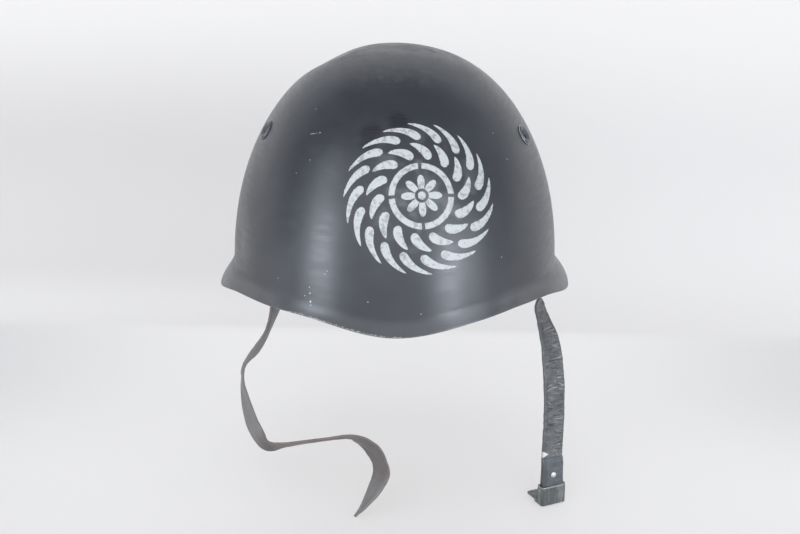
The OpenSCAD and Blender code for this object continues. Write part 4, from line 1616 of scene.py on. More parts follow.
@dataclass
class WireLoop:
    """Rectangular loop of round wire, bent with rounded corners and butted at its upper bar.

    Its side is 1 on the wearer's left and -1 on the right, its lean is in degrees and lengths are in
    millimetres. Half is half its width along the helmet.
    """

    name: str
    node: str
    side: int
    lean: float
    body: Body
    hinge: Triple
    height: float
    half: float = 10.1
    wire: float = 1.3
    corner: float = 2.0
    butt: float = 0.15
    corner_steps: int = 6
    shortest: float = 0.05
    sides: int = 14

    def path(self) -> list[Vector]:
        """Draws the wire's middle line, from the butt joint round and back to it.

        Returns:
            Its points in millimetres.
        """
        line = [(self.butt, 0.0), (self.half - self.corner, 0.0)]
        top, bottom = -self.corner, self.corner - self.height
        for side, z, start in ((1, top, 90), (1, bottom, 0), (-1, bottom, -90), (-1, top, 180)):
            y = side * (self.half - self.corner)
            for k in range(self.corner_steps + 1):
                a = math.radians(start - 90 * k / self.corner_steps)
                line.append((y + self.corner * math.cos(a), z + self.corner * math.sin(a)))
        line.append((-self.butt, 0.0))
        lean = math.radians(self.lean)
        x, _, z0 = self.hinge
        return [Vector((self.side * (x - z * math.sin(lean)), y, z0 + z * math.cos(lean))) for y, z in line]

    def dress(self, steel: bpy.types.Material) -> None:
        """Models and dresses the loop.

        Args:
            steel: The wire's material.
        """
        points = self.path()
        unique = [points[0]]
        unique += [b for a, b in zip(points, points[1:]) if (b - a).length > self.shortest]
        obj = tube(self.name, unique, self.wire, self.sides)
        smooth(obj, 50)
        dress(obj, self.body, steel, [self.node])


def tube(name: str, line: Sequence[Vector], radius: float, sides: int) -> bpy.types.Object:
    """Lofts a round tube with flat ends along a line.

    Args:
        name: The piece's name.
        line: Its middle line in millimetres.
        radius: Its radius in millimetres.
        sides: Points round it.

    Returns:
        The piece, with across and along attributes.
    """
    rings, length, lengths = [], 0.0, []
    turns = [math.tau * k / sides for k in range(sides)]
    nearly_up = Vector((0.01, 0.02, 1))
    side = unit(unit(line[1] - line[0]).cross(nearly_up))
    for i, p in enumerate(line):
        along = unit(line[min(i + 1, len(line) - 1)] - line[max(i - 1, 0)])
        side = unit(side - along * side.dot(along))
        up = side.cross(along)
        rings.append([p + radius * (math.cos(a) * side + math.sin(a) * up) for a in turns])
        length += (p - line[i - 1]).length if i else 0.0
        lengths.append(length)
    loft = Loft(name, rings[0])
    for ring in rings[1:]:
        loft.add(ring)
    loft.close()
    obj = loft.finish()
    loft.label("across", lambda c, r: c / sides)
    loft.label("along", lambda c, r: lengths[r])
    return obj


@dataclass
class Lace:
    """Crown lace woven through the tongues, with an overhand knot and two ends.

    Lengths are in millimetres. The first five place the lace on the liner leather's dome, and the tail's
    shape is a list of places from the knot, as shares of its length.
    """

    half_width: float = 80.0
    half_length: float = 101.0
    notch: float = 49.0
    crown: float = 132.0
    height: float = 110.0
    radius: float = 1.2
    leather: float = 1.6
    swing: float = 3.6
    soft_turn: float = 0.15
    tongues: int = 8
    tail: float = 18.0
    tail_shape: tuple = (
        (0, 0, 0), (0.17, 0.14, -0.14), (0.22, 0.28, -0.39), (0.21, 0.44, -0.69), (0.18, 0.58, -1),
    )
    tail_steps: int = 20
    opening: float = 0.6
    ring_steps: int = 240
    knot_scale: float = 0.62
    knot_depth: float = 1.3
    knot_steps: int = 72
    sides: int = 12

    def point(self, angle: float) -> Vector:
        """Works out where the lace runs.

        Args:
            angle: Degrees from the front.

        Returns:
            The lace's middle at that angle.
        """
        rise = (self.height - self.notch) / (self.crown - self.notch)
        s = math.sqrt(1 - rise * rise)
        a = math.radians(angle)
        p = Vector((self.half_width * math.sin(a) * s, -self.half_length * math.cos(a) * s, self.height))
        out = unit(Vector((p.x / self.half_width**2, p.y / self.half_length**2,
                           (self.height - self.notch) / (self.crown - self.notch) ** 2)))
        wave = math.sin(math.radians(self.tongues / 2 * (angle - 180 / self.tongues)))
        return p + out * (self.leather / 2 - self.swing * wave / math.sqrt(wave * wave + self.soft_turn))

    def knot(self) -> list[Vector]:
        """Winds the overhand knot at the back.

        Returns:
            The points of its middle line.
        """
        middle, line = self.point(180), []
        for i in range(self.knot_steps - 1):
            t = math.tau * i / self.knot_steps
            x, z = math.sin(t) + 2 * math.sin(2 * t), math.cos(t) - 2 * math.cos(2 * t)
            line.append(middle + self.knot_scale * Vector((x, -self.knot_depth * math.sin(3 * t), z)))
        return line

    def dress(self, cord: bpy.types.Material) -> None:
        """Models the ring, its ends and its knot, and joins them as one piece.

        Args:
            cord: The lace's material.
        """
        start, turn = 180 + self.opening, 360 - 2 * self.opening
        ring = [self.point(start + turn * i / self.ring_steps) for i in range(self.ring_steps + 1)]
        parts = [tube("crown_lace_ring", ring, self.radius, self.sides)]
        last, middle = len(self.tail_shape) - 1, self.point(180)
        for side in (1, -1):
            route = [(side * x, y, z) for x, y, z in self.tail_shape]
            marks = [last * s / self.tail_steps for s in range(self.tail_steps + 1)]
            line = [middle + self.tail * Vector(blended(route, mark)) for mark in marks]
            parts.append(tube("crown_lace_end", line, self.radius * 0.9, self.sides))
        parts.append(tube("crown_lace_knot", self.knot(), self.radius * 0.95, self.sides))
        for part in parts:
            smooth(part, 60)
        select_only(parts[0])
        for part in parts[1:]:
            part.select_set(True)
        bpy.ops.object.join()
        parts[0].name = parts[0].data.name = "crown_lace_braided"
        dress(parts[0], Body.HELMET, cord, ["crown_lace"])


def folded(bore: float, lap: float, thickness: float, slit: float) -> list[tuple[float, float]]:
    """Draws the middle line of a strap's end folded round a bar, from one ply's end to the other's.

    Args:
        bore: Radius inside the fold.
        lap: Length of the plies.
        thickness: The leather's thickness.
        slit: Half the slit between the plies.

    Returns:
        Its points as across and up from the bar.
    """
    middle, ply = bore + thickness / 2, slit + thickness / 2
    full = 2.6 * (bore + thickness)
    down = [(-ply, -lap), (-ply, -0.8 * lap), (-ply, -0.6 * lap), (-ply, -full),
            (-(ply + middle) / 2, -0.55 * full), (-middle, -0.12 * full)]
    turns = [math.radians(a) for a in range(175, 4, -17)]
    over = [(middle * math.cos(a), middle * math.sin(a)) for a in turns]
    return down + over + [(-x, y) for x, y in reversed(down)]


@dataclass
class Strap:
    """Leather strap lofted along its route, with a fold round its loop's bar.

    Lengths are in millimetres, and a station of the route is a place from the hinge and the direction of
    the near edge. A fold is its place along, the middle and half length across, its slope and its height
    as a share of the crease, less than 0 for a groove. Skive is the length over which the end is pared thin,
    and pared is how far it sinks there.
    """

    name: str
    node: str
    side: int
    bar: Vector
    lean: float
    hinge: Vector
    route: Sequence[Sequence[float]]
    body: Body
    slot: Slot
    thickness: float
    slit: float
    width: float = 17.0
    bore: float = 1.37
    lap: float = 22.0
    tip: float = 0.0
    ripple: float = 0.12
    crease: float = 0.0
    folds: tuple = ()
    fold_half: float = 0.95
    skive: float = 0.0
    pared: float = 0.28
    edge_round: float = 0.5
    edge_reach: float = 8.0
    overlap: float = 5.0
    across: int = 7
    steps: int = 7
    spacing: float = 0.0
    tail: Callable[[], list[tuple[Vector, Vector]]] | None = None

    def lap_point(self, down: float, across: float) -> Vector:
        """Places a point of the folded end.

        Args:
            down: How far below the bar it is.
            across: How far out from the lap's middle.

        Returns:
            The point.
        """
        a = math.radians(self.lean)
        return self.bar + Vector((self.side * (down * math.sin(a) + across * math.cos(a)), 0,
                                  across * math.sin(a) - down * math.cos(a)))

    def frames(self) -> list[tuple[Vector, Vector]]:
        """Follows the strap round its fold, along its route and into its tail.

        Returns:
            Its middle points and the direction of its near edge at each.
        """
        near, ply = Vector((0, -1, 0)), self.slit + self.thickness / 2
        line = folded(self.bore, self.lap, self.thickness, self.slit)
        points = [(self.lap_point(-y, x), near) for x, y in line[:-1]]
        ends = (self.lap_point(self.lap - self.overlap, ply), self.lap_point(self.lap, ply))
        stations = [(*end, *(near * self.edge_reach)) for end in ends]
        stations += [(*(Vector(p[:3]) + self.hinge), *p[3:]) for p in self.route]
        extra = self.tail() if self.tail else []
        stations += [(*p, *(edge * self.edge_reach)) for p, edge in extra[:2]]
        marks = [1.0]
        for i in range(1, len(stations) - 1):
            length = (Vector(stations[i + 1][:3]) - Vector(stations[i][:3])).length
            count = max(2, round(length / self.spacing)) if self.spacing else self.steps
            marks += [i + k / count for k in range(1, count + 1)]
        for mark in marks:
            values = blended(stations, mark)
            points.append((Vector(values[:3]), unit(Vector(values[3:]))))
        return points + extra[2:]

    def section(self, half: float) -> list[tuple[float, float]]:
        """Returns the strap's cross-section, rounded at its edges, as across and out.

        Args:
            half: Half the width there.

        Returns:
            The points round it.
        """
        t, r = self.thickness / 2, min(self.edge_round, half * 0.4)
        flat, last = half - r, self.across - 1
        top = [(flat * (2 * i / last - 1), t) for i in range(self.across)]
        bottom = [(x, -y) for x, y in reversed(top)]
        return [(-half, 0.4 * t), *top, (half, 0.4 * t), (half, -0.4 * t), *bottom, (-half, -0.4 * t)]

    def creased(self, x: float, along: float) -> float:
        """Works out the fine creases that cross the strap in wavy lines, and its folds.

        The last number of each place that noise is read at only keeps the patterns apart.

        Args:
            x: Place across the strap in millimetres.
            along: Place along it.

        Returns:
            The share of the crease's full height, less than 0 in a fold's groove.
        """
        bend = noise.noise(Vector((x * 0.06, along * 0.06, 3.0)))
        lines = noise.noise(Vector((x * 0.075 + bend, along * 0.5 + 0.13 * x + 1.5 * bend, 11.0)))
        fine = noise.noise(Vector((x * 0.2, along * 1.1 + 0.25 * x + 2.0 * bend, 23.0)))
        ridge = max(0.0, 1 - 5.0 * abs(lines + 0.3 * fine))
        small = 0.55 * max(0.0, 1 - 3.5 * abs(fine - 0.1))
        region = 0.55 + 0.8 * noise.noise(Vector((x * 0.12, along * 0.06, 31.0))) - 0.035 * x
        height = 0.45 * max(ridge, small) * min(1.0, max(0.15, region))
        for at, middle, half, slope, share in self.folds:
            off = (x - middle) / half
            if abs(off) < 1:
                wave = 0.6 * noise.noise(Vector((x * 0.4, at, 5.0)))
                away = abs(along - at - slope * (x - middle) - wave)
                rise = share * math.sqrt(1 - off * off) * max(0.0, 1 - away / self.fold_half)
                height = max(height, rise) if share > 0 else min(height, rise) if rise < -0.02 else height
        return height

    def half_at(self, p: Vector, left: float) -> float:
        """Narrows the strap to its tip, with a slightly uneven edge.

        Args:
            p: The place on its middle line.
            left: Length from there to its end.

        Returns:
            Half its width there.
        """
        half = self.width / 2
        if self.tip and left < self.tip:
            half *= 0.12 + 0.88 * math.sqrt(1 - (1 - left / self.tip) ** 2)
        return half + self.ripple * noise.noise(p * 0.11)

    def lift(self, x: float, along: float) -> float:
        """Raises the leather by its ripple and its creases.

        Args:
            x: Place across the strap.
            along: Place along it.

        Returns:
            How far it is raised.
        """
        wave = noise.noise(Vector((x * 0.16, along * 0.3, 7.0 * self.side)))
        return self.ripple * 1.4 * wave + self.crease * self.creased(x, along)

    def build(self) -> bpy.types.Object:
        """Lofts the strap and writes its own coordinates.

        Returns:
            The strap.
        """
        frames = self.frames()
        lengths = [0.0]
        for (a, _), (b, _) in zip(frames, frames[1:]):
            lengths.append(lengths[-1] + (b - a).length)
        rings, widths = [], []
        for i, (p, near) in enumerate(frames):
            along = unit(frames[min(i + 1, len(frames) - 1)][0] - frames[max(i - 1, 0)][0])
            edge = unit(near - along * near.dot(along))
            face = along.cross(edge)
            left = lengths[-1] - lengths[i]
            half = self.half_at(p, left)
            full = 0.1 + 0.9 * min(1.0, left / self.skive) if self.skive else 1.0
            sunk = (1 - full) * (self.thickness / 2 + self.pared)
            rings.append([p + edge * x + face * (y * full - sunk + self.lift(x, lengths[i]))
                          for x, y in self.section(half)])
            widths.append(half)
        loft = Loft(self.name, rings[0])
        for ring in rings[1:]:
            loft.add(ring)
        loft.close()
        obj = loft.finish()
        self._label(loft, lengths, widths)
        smooth(obj, 60)
        return obj

    def _label(self, loft: Loft, lengths: Sequence[float], widths: Sequence[float]) -> None:
        """Writes the strap's own coordinates, its face and its creases.

        Args:
            loft: The strap's loft.
            lengths: Each ring's place along the strap.
            widths: Half the width at each ring.
        """
        half = self.width / 2
        shares = [x for x, _ in self.section(half)]
        upper = [y > 0 for _, y in self.section(1.0)]

        def across(column: int, row: int) -> float:
            """Returns a vertex's place across, counted from the nearer edge at the full width."""
            lost = half - widths[row]
            return shares[column] / half * widths[row] + lost * math.copysign(1, shares[column])

        loft.label("across", across)
        loft.label("along", lambda column, row: lengths[row])
        loft.label("face", lambda column, row: 1.0 if upper[column] else -1.0)
        loft.label("crest", lambda column, row: self.creased(shares[column], lengths[row]))

    def dress(self, leather: bpy.types.Material) -> None:
        """Models and dresses the strap."""
        dress(self.build(), self.body, leather, [self.node])


@dataclass
class BuckleFrame:
    """Places on the buckle's sleeve, in millimetres, turned about the vertical by its turn in degrees."""

    origin: Vector
    turn: float = 30.0
    bar_height: float = 11.13
    bar_bore: float = 0.97
    lap: float = 24.0
    lap_soft: float = 4.0

    def point(self, x: float, y: float, z: float) -> Vector:
        """Returns a place from the sleeve's own coordinates."""
        a = math.radians(self.turn)
        return self.origin + Vector((x * math.cos(a) - y * math.sin(a), x * math.sin(a) + y * math.cos(a), z))

    def edge(self) -> Vector:
        """Returns the direction of the strap's near edge in the sleeve."""
        a = math.radians(self.turn)
        return Vector((-math.cos(a), -math.sin(a), 0))


@dataclass
class Straps:
    """Both chin straps with their wire loops, and the short strap's fold in the buckle.

    Routes and folds are as the strap's class says, lengths in millimetres and angles in degrees.
    """

    hinge_x: float = 88.47
    hinge_z: float = 25.0
    loop_height: float = 14.0
    short_lean: float = 35.0
    long_route: tuple = (
        (4.5, -1, -45, -3, -8, 0), (-1, -1, -63, -1, -8, 2), (-10, -2, -79, -1, -7, 4),
        (-18, -3, -90.5, 0, -8, 3), (-19.5, -3.5, -100, 1, -8, 3), (-18.5, -4.5, -111, 2.5, -7.5, 3),
        (-15.5, -6.5, -125, 4.5, -7, 3), (-10.5, -9, -138.5, 5, -6, 4), (-2, -16, -146, 3, -6, 6),
        (11, -22, -143.5, 0.5, -7.5, 4.5), (32, -32, -135.5, 0.5, -7.5, 4), (54.5, -43, -127, 0.5, -7.5, 4),
        (63, -46, -126.5, 1, -7, 5), (71, -49, -129, 2.5, -6, 6), (77, -51, -134, 4, -5, 5.5),
        (81, -52, -142, 5, -6, 4), (82, -52, -149, 6, -6, 3), (79.5, -52, -157, 5, -6.5, 2.5),
        (75.5, -52, -165, 4, -7, 2.5), (69, -52, -176, 2, -7.5, 3), (63.5, -52, -184, 0.5, -7.5, 4),
    )
    short_route: tuple = (
        (13.7, -1, -39.5, -2.6, -7.6, 0), (16, -1, -48, -3.3, -7.5, 0), (18.5, -2, -55, -4.5, -7, 0),
        (21, -4, -62, -6, -6, 0), (23, -6, -69, -6.5, -5.5, 0), (24.5, -8.5, -80, -7.3, -4.5, 0),
        (26, -12, -96, -7.4, -4.3, 0), (26.6, -17, -120, -7.4, -4.3, 0),
    )
    short_folds: tuple = (
        (77.5, -0.5, 6.8, 0.0, 0.9), (79.9, -4.5, 3.2, 0.0, 0.8), (80.2, 1.5, 3.5, 0.0, 0.6),
        (80.9, 4.5, 2.5, 0.0, -0.6), (82.9, -5.4, 3.0, -0.5, 0.8), (84.8, -1.0, 5.5, -0.15, -0.9),
        (86.2, -2.5, 2.5, 0.2, 0.5), (87.6, 2.0, 2.2, -0.3, -0.5), (90.0, -5.6, 2.4, 0.3, 0.7),
        (91.0, -2.3, 3.5, -0.6, 1.0),
        (92.4, -2.6, 3.2, -0.6, -0.5), (93.8, 4.5, 3.0, 0.1, -0.3), (99.7, -2.6, 5.6, 0.15, 0.7),
        (99.0, -6.4, 2.2, 0.3, 1.0), (101.0, -5.5, 2.6, 0.15, -0.8), (102.6, -7.2, 1.3, 0.0, 0.8),
        (109.3, -3.0, 1.0, -0.6, 0.9), (113.6, -4.2, 2.2, 0.2, 1.0), (115.8, -0.6, 1.1, 0.8, 0.9),
        (117.0, 4.0, 2.6, 0.3, -0.5), (118.3, 3.6, 2.4, 0.4, 0.8), (118.4, -5.4, 2.6, -0.5, 1.0),
        (119.3, 0.8, 1.0, 0.0, -0.7), (119.7, -6.9, 1.8, 0.5, 1.0), (120.3, 0.0, 2.6, 0.1, 1.0),
        (121.2, 4.3, 2.6, 0.6, 0.9), (121.9, -5.1, 2.0, -0.2, 0.8), (123.2, 1.5, 3.0, -0.2, -0.5),
        (129.7, 6.4, 1.7, -0.2, 0.6), (131.3, 4.5, 1.3, -0.5, 0.9), (141.2, -4.0, 4.6, 0.05, -0.6),
        (142.9, -3.2, 5.4, 0.05, 1.0), (144.2, -4.0, 4.5, 0.05, -0.5), (145.5, -1.2, 4.0, 0.0, 0.55),
        (150.2, -5.4, 3.0, 0.2, -0.6), (155.3, -1.5, 1.7, 0.9, -0.8), (157.2, 3.0, 3.0, 0.3, -0.4),
        (159.4, -3.6, 2.8, 0.1, 0.65), (161.0, 1.0, 3.6, 0.1, -0.6), (162.6, 0.5, 4.2, 0.1, 0.55),
        (164.6, -3.5, 2.6, -0.2, 0.45), (166.2, -2.0, 2.6, 0.0, 0.65), (168.9, -3.6, 0.9, 0.0, 1.0),
        (168.9, -7.0, 0.9, 0.0, 0.9),
    )
    buckle_place: Triple = (26.4, -22.8, -184.0)
    thickness: float = 1.8
    slit: float = 0.15

    def hinge(self, side: int) -> Vector:
        """Returns a loop's hinge."""
        return Vector((side * self.hinge_x, 0, self.hinge_z))

    def bar(self, side: int, lean: float) -> Vector:
        """Returns the middle of a loop's lower bar."""
        a, reach = math.radians(lean), self.loop_height
        return self.hinge(side) + Vector((side * reach * math.sin(a), 0, -reach * math.cos(a)))

    def buckle(self) -> BuckleFrame:
        """Returns the buckle's frame."""
        return BuckleFrame(self.hinge(1) + Vector(self.buckle_place))

    def buckle_tail(self) -> list[tuple[Vector, Vector]]:
        """Folds the short strap's end round the buckle's bar: down behind it and up in front.

        Returns:
            Its middle points and the direction of its near edge at each.
        """
        b, ply = self.buckle(), self.slit + self.thickness / 2
        line = [(ply, b.lap + b.lap_soft), (ply, b.lap - b.lap_soft)]
        line += [(-x, -y) for x, y in folded(b.bar_bore, b.lap, self.thickness, self.slit)[2:]]
        return [(b.point(0, y, b.bar_height + z), b.edge()) for y, z in line]

    def dress(self, steel: bpy.types.Material, short: bpy.types.Material, long: bpy.types.Material) -> None:
        """Models and dresses the loops and the leather.

        Args:
            steel: The loops' material.
            short: The short strap's.
            long: The long strap's.
        """
        hinge = (self.hinge_x, 0.0, self.hinge_z)
        WireLoop("loop_left_wire", "loop_left", side=1, lean=self.short_lean, body=Body.LEFT_LOOP,
                 hinge=hinge, height=self.loop_height).dress(steel)
        WireLoop("loop_right_wire", "loop_right", side=-1, lean=0.0, body=Body.RIGHT_LOOP,
                 hinge=hinge, height=self.loop_height).dress(steel)
        Strap("long_strap_leather", "long_strap", side=-1, bar=self.bar(-1, 0), lean=-8.0,
              hinge=self.hinge(-1), route=self.long_route, body=Body.RIGHT_STRAP, slot=Slot.LONG_STRAP,
              thickness=self.thickness, slit=self.slit, tip=26.0, ripple=0.15).dress(long)
        Strap("short_strap_leather", "short_strap", side=1, bar=self.bar(1, self.short_lean), lean=13.0,
              hinge=self.hinge(1), route=self.short_route, body=Body.LEFT_STRAP, slot=Slot.SHORT_STRAP,
              thickness=self.thickness, slit=self.slit, ripple=0.28, crease=0.45, folds=self.short_folds,
              skive=6.0, across=33, spacing=0.45, tail=self.buckle_tail).dress(short)


@dataclass
class Studio:
    """White cove, lamps and the photograph's camera.

    Lengths are in metres and angles in degrees. The near, mid and far colours are the floor's, and the
    seen and unseen ones the wall's, as the camera and polished surfaces see them. They paint light and shade
    on the paper: the floor darker on the left and at the back and lighter in the middle where the helmet's
    shadow falls, and the wall darker on the left, lighter higher up and darker again at its top.
    """

    azimuth: float = 1.5
    elevation: float = 20.6
    distance: float = 1.5
    roll: float = 0.6
    target: Triple = (0.0038, 0.0, 0.0108)
    lens: float = 95.94
    sensor: float = 36.0
    floor: float = -0.1605
    wall: Colour = (0.80, 0.80, 0.81)
    near_left: Colour = (0.92, 0.91, 0.92)
    near_right: Colour = (1.0, 0.99, 1.0)
    far_floor: Colour = (0.69, 0.685, 0.695)
    mid_floor: Colour = (1.0, 0.99, 0.995)
    seen_low: Colour = (0.82, 0.81, 0.82)
    seen_left: Colour = (0.665, 0.645, 0.65)
    seen_right: Colour = (0.845, 0.84, 0.85)
    seen_top: Colour = (1.0, 0.99, 0.99)
    unseen: Colour = (0.54, 0.55, 0.57)
    seen_share: float = 0.5
    half_floor: float = 2.5
    floor_front: float = -2.2
    seam: float = 0.28
    seam_radius: float = 0.12
    seam_steps: int = 12
    wall_height: float = 0.70
    room_front: float = 1.0
    room_back: float = 0.24
    room_top: float = 0.5
    daylight: Colour = (0.96, 0.98, 1.0)
    cool: Colour = (0.84, 0.90, 1.0)

    def camera(self) -> None:
        """Stands the camera where the photograph was taken from."""
        a, e, r = math.radians(self.azimuth), math.radians(self.elevation), math.radians(self.roll)
        back = Vector((math.sin(a) * math.cos(e), -math.cos(a) * math.cos(e), math.sin(e)))
        level = Vector((math.cos(a), math.sin(a), 0))
        upright = back.cross(level)
        right = level * math.cos(r) + upright * math.sin(r)
        up = upright * math.cos(r) - level * math.sin(r)
        data = bpy.data.cameras.new("camera")
        data.lens, data.sensor_width = self.lens, self.sensor
        data.clip_start, data.clip_end = 0.05, 20.0
        obj = bpy.data.objects.new("camera", data)
        bpy.context.scene.collection.objects.link(obj)
        turn = Matrix((right, up, back)).transposed().to_4x4()
        obj.matrix_world = Matrix.Translation(Vector(self.target) + back * self.distance) @ turn
        bpy.context.scene.camera = obj

    def cove(self) -> None:
        """Sweeps the floor up into the back wall."""
        deselect_all()
        bpy.ops.mesh.primitive_plane_add(size=1, location=(0, 0, self.floor))
        obj = bpy.context.object
        obj.name = "studio_cove"
        bpy.ops.object.mode_set(mode="EDIT")
        bm = bmesh.from_edit_mesh(obj.data)
        for v in bm.verts:
            y = self.seam if v.co.y > 0 else self.floor_front
            v.co = Vector((math.copysign(self.half_floor, v.co.x), y, 0))
        for e in bm.edges:
            e.select_set(all(v.co.y > 0 for v in e.verts))
        bm.select_mode = {"EDGE"}
        bpy.context.tool_settings.mesh_select_mode = (False, True, False)
        bmesh.update_edit_mesh(obj.data)
        radius, before = self.seam_radius, Vector((0, self.seam, 0))
        for k in range(1, self.seam_steps + 1):
            a = math.radians(90 * k / self.seam_steps)
            here = Vector((0, self.seam + radius * math.sin(a), radius * (1 - math.cos(a))))
            bpy.ops.mesh.extrude_region_move(TRANSFORM_OT_translate={"value": here - before})
            before = here
        bpy.ops.mesh.extrude_region_move(TRANSFORM_OT_translate={"value": (0, 0, self.wall_height)})
        bpy.ops.object.mode_set(mode="OBJECT")
        smooth(obj, 30)
        obj.data.materials.append(self.paper())

    def paper(self) -> bpy.types.Material:
        """Makes the backdrop's paper, with a share of its colour shown evenly and nothing seen from behind.

        Returns:
            The paper's material.
        """
        g = Graph("studio_white")
        g.set("Base Color", self.wall)
        g.set("Roughness", 0.9)
        g.set("Specular IOR Level", 0.1)
        even = g.tree.nodes.new("ShaderNodeEmission")
        g.put(even.inputs["Color"], self._paper_colour(g))
        rays = g.tree.nodes.new("ShaderNodeLightPath")
        seen = g.largest([rays.outputs[f"Is {kind} Ray"] for kind in ("Camera", "Glossy", "Transmission")])
        both = g.tree.nodes.new("ShaderNodeMixShader")
        g.put(both.inputs[0], g.times(seen, self.seen_share))
        g.put(both.inputs[1], g.shader.outputs["BSDF"])
        g.put(both.inputs[2], even.outputs["Emission"])
        behind = g.tree.nodes.new("ShaderNodeNewGeometry").outputs["Backfacing"]
        clear = g.tree.nodes.new("ShaderNodeMixShader")
        g.put(clear.inputs[0], g.times(behind, rays.outputs["Is Camera Ray"]))
        g.put(clear.inputs[1], both.outputs["Shader"])
        g.put(clear.inputs[2], g.tree.nodes.new("ShaderNodeBsdfTransparent").outputs["BSDF"])
        g.put(g.output.inputs["Surface"], clear.outputs["Shader"])
        return g.material

    def _paper_colour(self, g: Graph) -> bpy.types.NodeSocket:
        """Shades the floor and the wall as they look in the photograph.

        Args:
            g: The paper's graph.

        Returns:
            The colour, by the place on the paper in millimetres.
        """
        x, y, z = g.parts(g.place())
        # Painted shade and light on the wall: darker on the left, lighter higher up, darker again at its top.
        wall = g.mix(g.ramp(x, -260.0, 230.0), self.seen_left, self.seen_right)
        wall = g.mix(g.ramp(z, 130.0, 270.0), wall, self.seen_top)
        wall = g.mix(g.ramp(z, 350.0, 470.0), wall, self.unseen)
        wall = g.mix(g.ramp(z, 6.0, 34.0), self.seen_low, wall)
        # Painted shade and light on the floor: darker on the left and at the back, lighter in the middle
        # where the helmet's shadow falls.
        floor = g.mix(g.ramp(x, -200.0, 200.0), self.near_left, self.near_right)
        floor = g.mix(g.ramp(y, 0.0, 200.0), floor, self.far_floor)
        floor = g.mix(g.ramp(g.absolute(x), 400.0, 110.0), floor, self.mid_floor)
        return g.mix(g.ramp(z, 0.0, 2.5), floor, wall)

    def world(self) -> None:
        """Lights the scene evenly, with a dim room on the camera's side and white behind for the camera."""
        world = bpy.data.worlds.new("studio_world")
        bpy.context.scene.world = world
        world.use_nodes = True
        g = Nodes(world.node_tree)
        background = g.tree.nodes["Background"]
        g.put(background.inputs["Color"], self.daylight)
        _, y, z = g.parts(g.tree.nodes.new("ShaderNodeTexCoord").outputs["Generated"])
        front = g.ramp(y, -0.75, 0.1, self.room_front, self.room_back)
        high = g.ramp(z, 0.55, 0.95, 1.0, self.room_top)
        seen = g.tree.nodes.new("ShaderNodeLightPath").outputs["Is Camera Ray"]
        g.put(background.inputs["Strength"], g.math("MAXIMUM", g.times(front, high), seen))

    def lamp(self, name: str, at: Triple, size: tuple[float, float], power: float, seen: Seen,
             aim: Triple = (0, 0, 0.05)) -> None:
        """Adds an area lamp that looks at the helmet.

        Args:
            name: Its name.
            at: Its place in metres.
            size: Width and height in metres.
            power: Watts.
            seen: Whether it lights dull surfaces in daylight or is mirrored by the paint, a little cooler.
            aim: The point it looks at.
        """
        data = bpy.data.lights.new(name, "AREA")
        data.shape = "RECTANGLE"
        data.size, data.size_y = size
        data.energy = power
        obj = bpy.data.objects.new(name, data)
        bpy.context.scene.collection.objects.link(obj)
        obj.location = at
        obj.rotation_euler = (Vector(aim) - Vector(at)).to_track_quat("-Z", "Y").to_euler()
        data.color = self.cool if seen is Seen.GLOSSY else self.daylight
        obj.visible_glossy = seen is Seen.GLOSSY
        obj.visible_diffuse = seen is Seen.DIFFUSE
        obj.visible_camera = False

    def build(self) -> None:
        """Sets up the camera, cove and lights."""
        self.camera()
        self.cove()
        self.world()
        self.lamp("top_soft", (0.0, -0.5, 1.6), (1.8, 1.4), 5.5, Seen.DIFFUSE)
        self.lamp("wall_wash", (0.0, 0.1, 1.7), (3.0, 0.5), 4.0, Seen.DIFFUSE, aim=(0, 0.65, 0.4))
        self.lamp("front_fill", (0.0, -1.9, 0.9), (2.4, 1.2), 18.0, Seen.DIFFUSE)
        self.lamp("left_streak", (-0.536, -0.45, 0.045), (0.20, 0.42), 1.85, Seen.GLOSSY)
        self.lamp("left_upper", (-0.60, -0.37, 0.44), (0.22, 0.36), 0.6, Seen.GLOSSY)
        self.lamp("left_skirt", (-0.69, -0.10, -0.08), (0.30, 0.14), 0.05, Seen.GLOSSY)
        self.lamp("right_streak", (0.45, -0.536, -0.02), (0.17, 0.26), 1.15, Seen.GLOSSY)
        self.lamp("right_upper", (0.45, -0.536, 0.24), (0.14, 0.26), 0.30, Seen.GLOSSY)
        self.lamp("right_skirt", (0.57, -0.41, 0.06), (0.26, 0.40), 0.75, Seen.GLOSSY)
        self.lamp("right_side", (0.69, -0.09, 0.15), (0.12, 0.24), 0.055, Seen.GLOSSY)
        bpy.context.scene.view_settings.view_transform = "Standard"


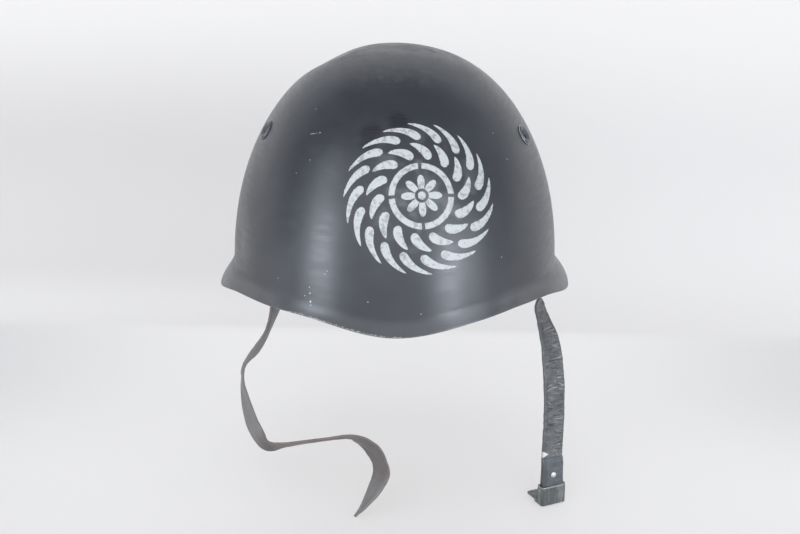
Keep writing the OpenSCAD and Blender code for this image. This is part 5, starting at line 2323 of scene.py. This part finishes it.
def main() -> None:
    """Builds the studio and dresses every piece of the helmet in order."""
    logging.basicConfig(level=logging.INFO, format="%(name)s: %(message)s")
    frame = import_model()
    Studio().build()
    paint = ShellPaint().build()
    grey = WornPaint("grey_hardware_paint", colour=(0.095, 0.105, 0.09), worn=(0.34, 0.34, 0.32)).build()
    inside = WornPaint("shell_inside_paint", colour=(0.07, 0.075, 0.066), worn=(0.25, 0.24, 0.22),
                       amount=0.25, scale=0.12).build()
    buckle_paint = WornPaint("buckle_worn_paint", colour=(0.105, 0.118, 0.122), worn=(0.33, 0.35, 0.35),
                             amount=0.45, scale=0.35, roughness=0.4, bands=0.55, worn_above=-145.2).build()
    steel = DullSteel().build()
    bright = DullSteel("bright_rivet_steel", bright=(0.88, 0.88, 0.87), stained=(0.55, 0.54, 0.52)).build()
    liner = LinerLeather().build()
    felt = Felt().build()
    cord = BraidedCord().build()
    short = StrapLeather("short_strap_creased", face=(0.084, 0.096, 0.111), back=(0.12, 0.125, 0.13),
                         crest=(0.56, 0.59, 0.63), edge=(0.085, 0.09, 0.10), crease=0.35,
                         crease_height=0.0005, roughness=0.32, pressed=(5.6, 4.2), nick=(168.4, 2.3, 5.6),
                         wrinkled=(50.0, 168.0)).build()
    long = StrapLeather("long_strap_supple", face=(0.155, 0.14, 0.138), back=(0.185, 0.18, 0.185),
                        crest=(0.26, 0.24, 0.235), edge=(0.26, 0.21, 0.19), crease=0.35,
                        crease_height=0.0003, roughness=0.5, sheen_stretches=((94, 170), (290, 330))).build()
    shell = Shell()
    shell.dress(paint, inside)
    VentRivets(shell).dress(paint)
    Lace().dress(cord)
    Straps().dress(steel, short, long)
    copies = FrameCopies(frame)
    for place in ("left", "right", "rear"):
        copies.make(f"vent_washer_{place}", Body.HELMET, steel)
        copies.make(f"hanger_{place}", Body.HELMET, grey)
    for node in ("hanger_rivets", "liner_rivets", "bracket_rivets"):
        copies.make(node, Body.HELMET, steel, 40, bevel=False)
    for node in ("bracket_left", "bracket_right", "liner_band"):
        copies.make(node, Body.HELMET, grey)
    copies.make("felt_strip", Body.HELMET, felt)
    copies.make("liner_leather", Body.HELMET, liner, 40, bevel=False)
    copies.make("short_strap_rivet", Body.LEFT_STRAP, steel, 40, bevel=False)
    copies.make("buckle_rivet", Body.LEFT_STRAP, bright, 40, bevel=False)
    copies.make("buckle_bar", Body.LEFT_STRAP, steel)
    copies.make("lever_pin", Body.LEFT_STRAP, steel)
    copies.make("buckle_body", Body.LEFT_STRAP, buckle_paint)
    copies.make("buckle_lever", Body.LEVER, buckle_paint)
    copies.make("long_strap_rivet", Body.RIGHT_STRAP, steel, 40, bevel=False)


if __name__ == "__main__":
    main()
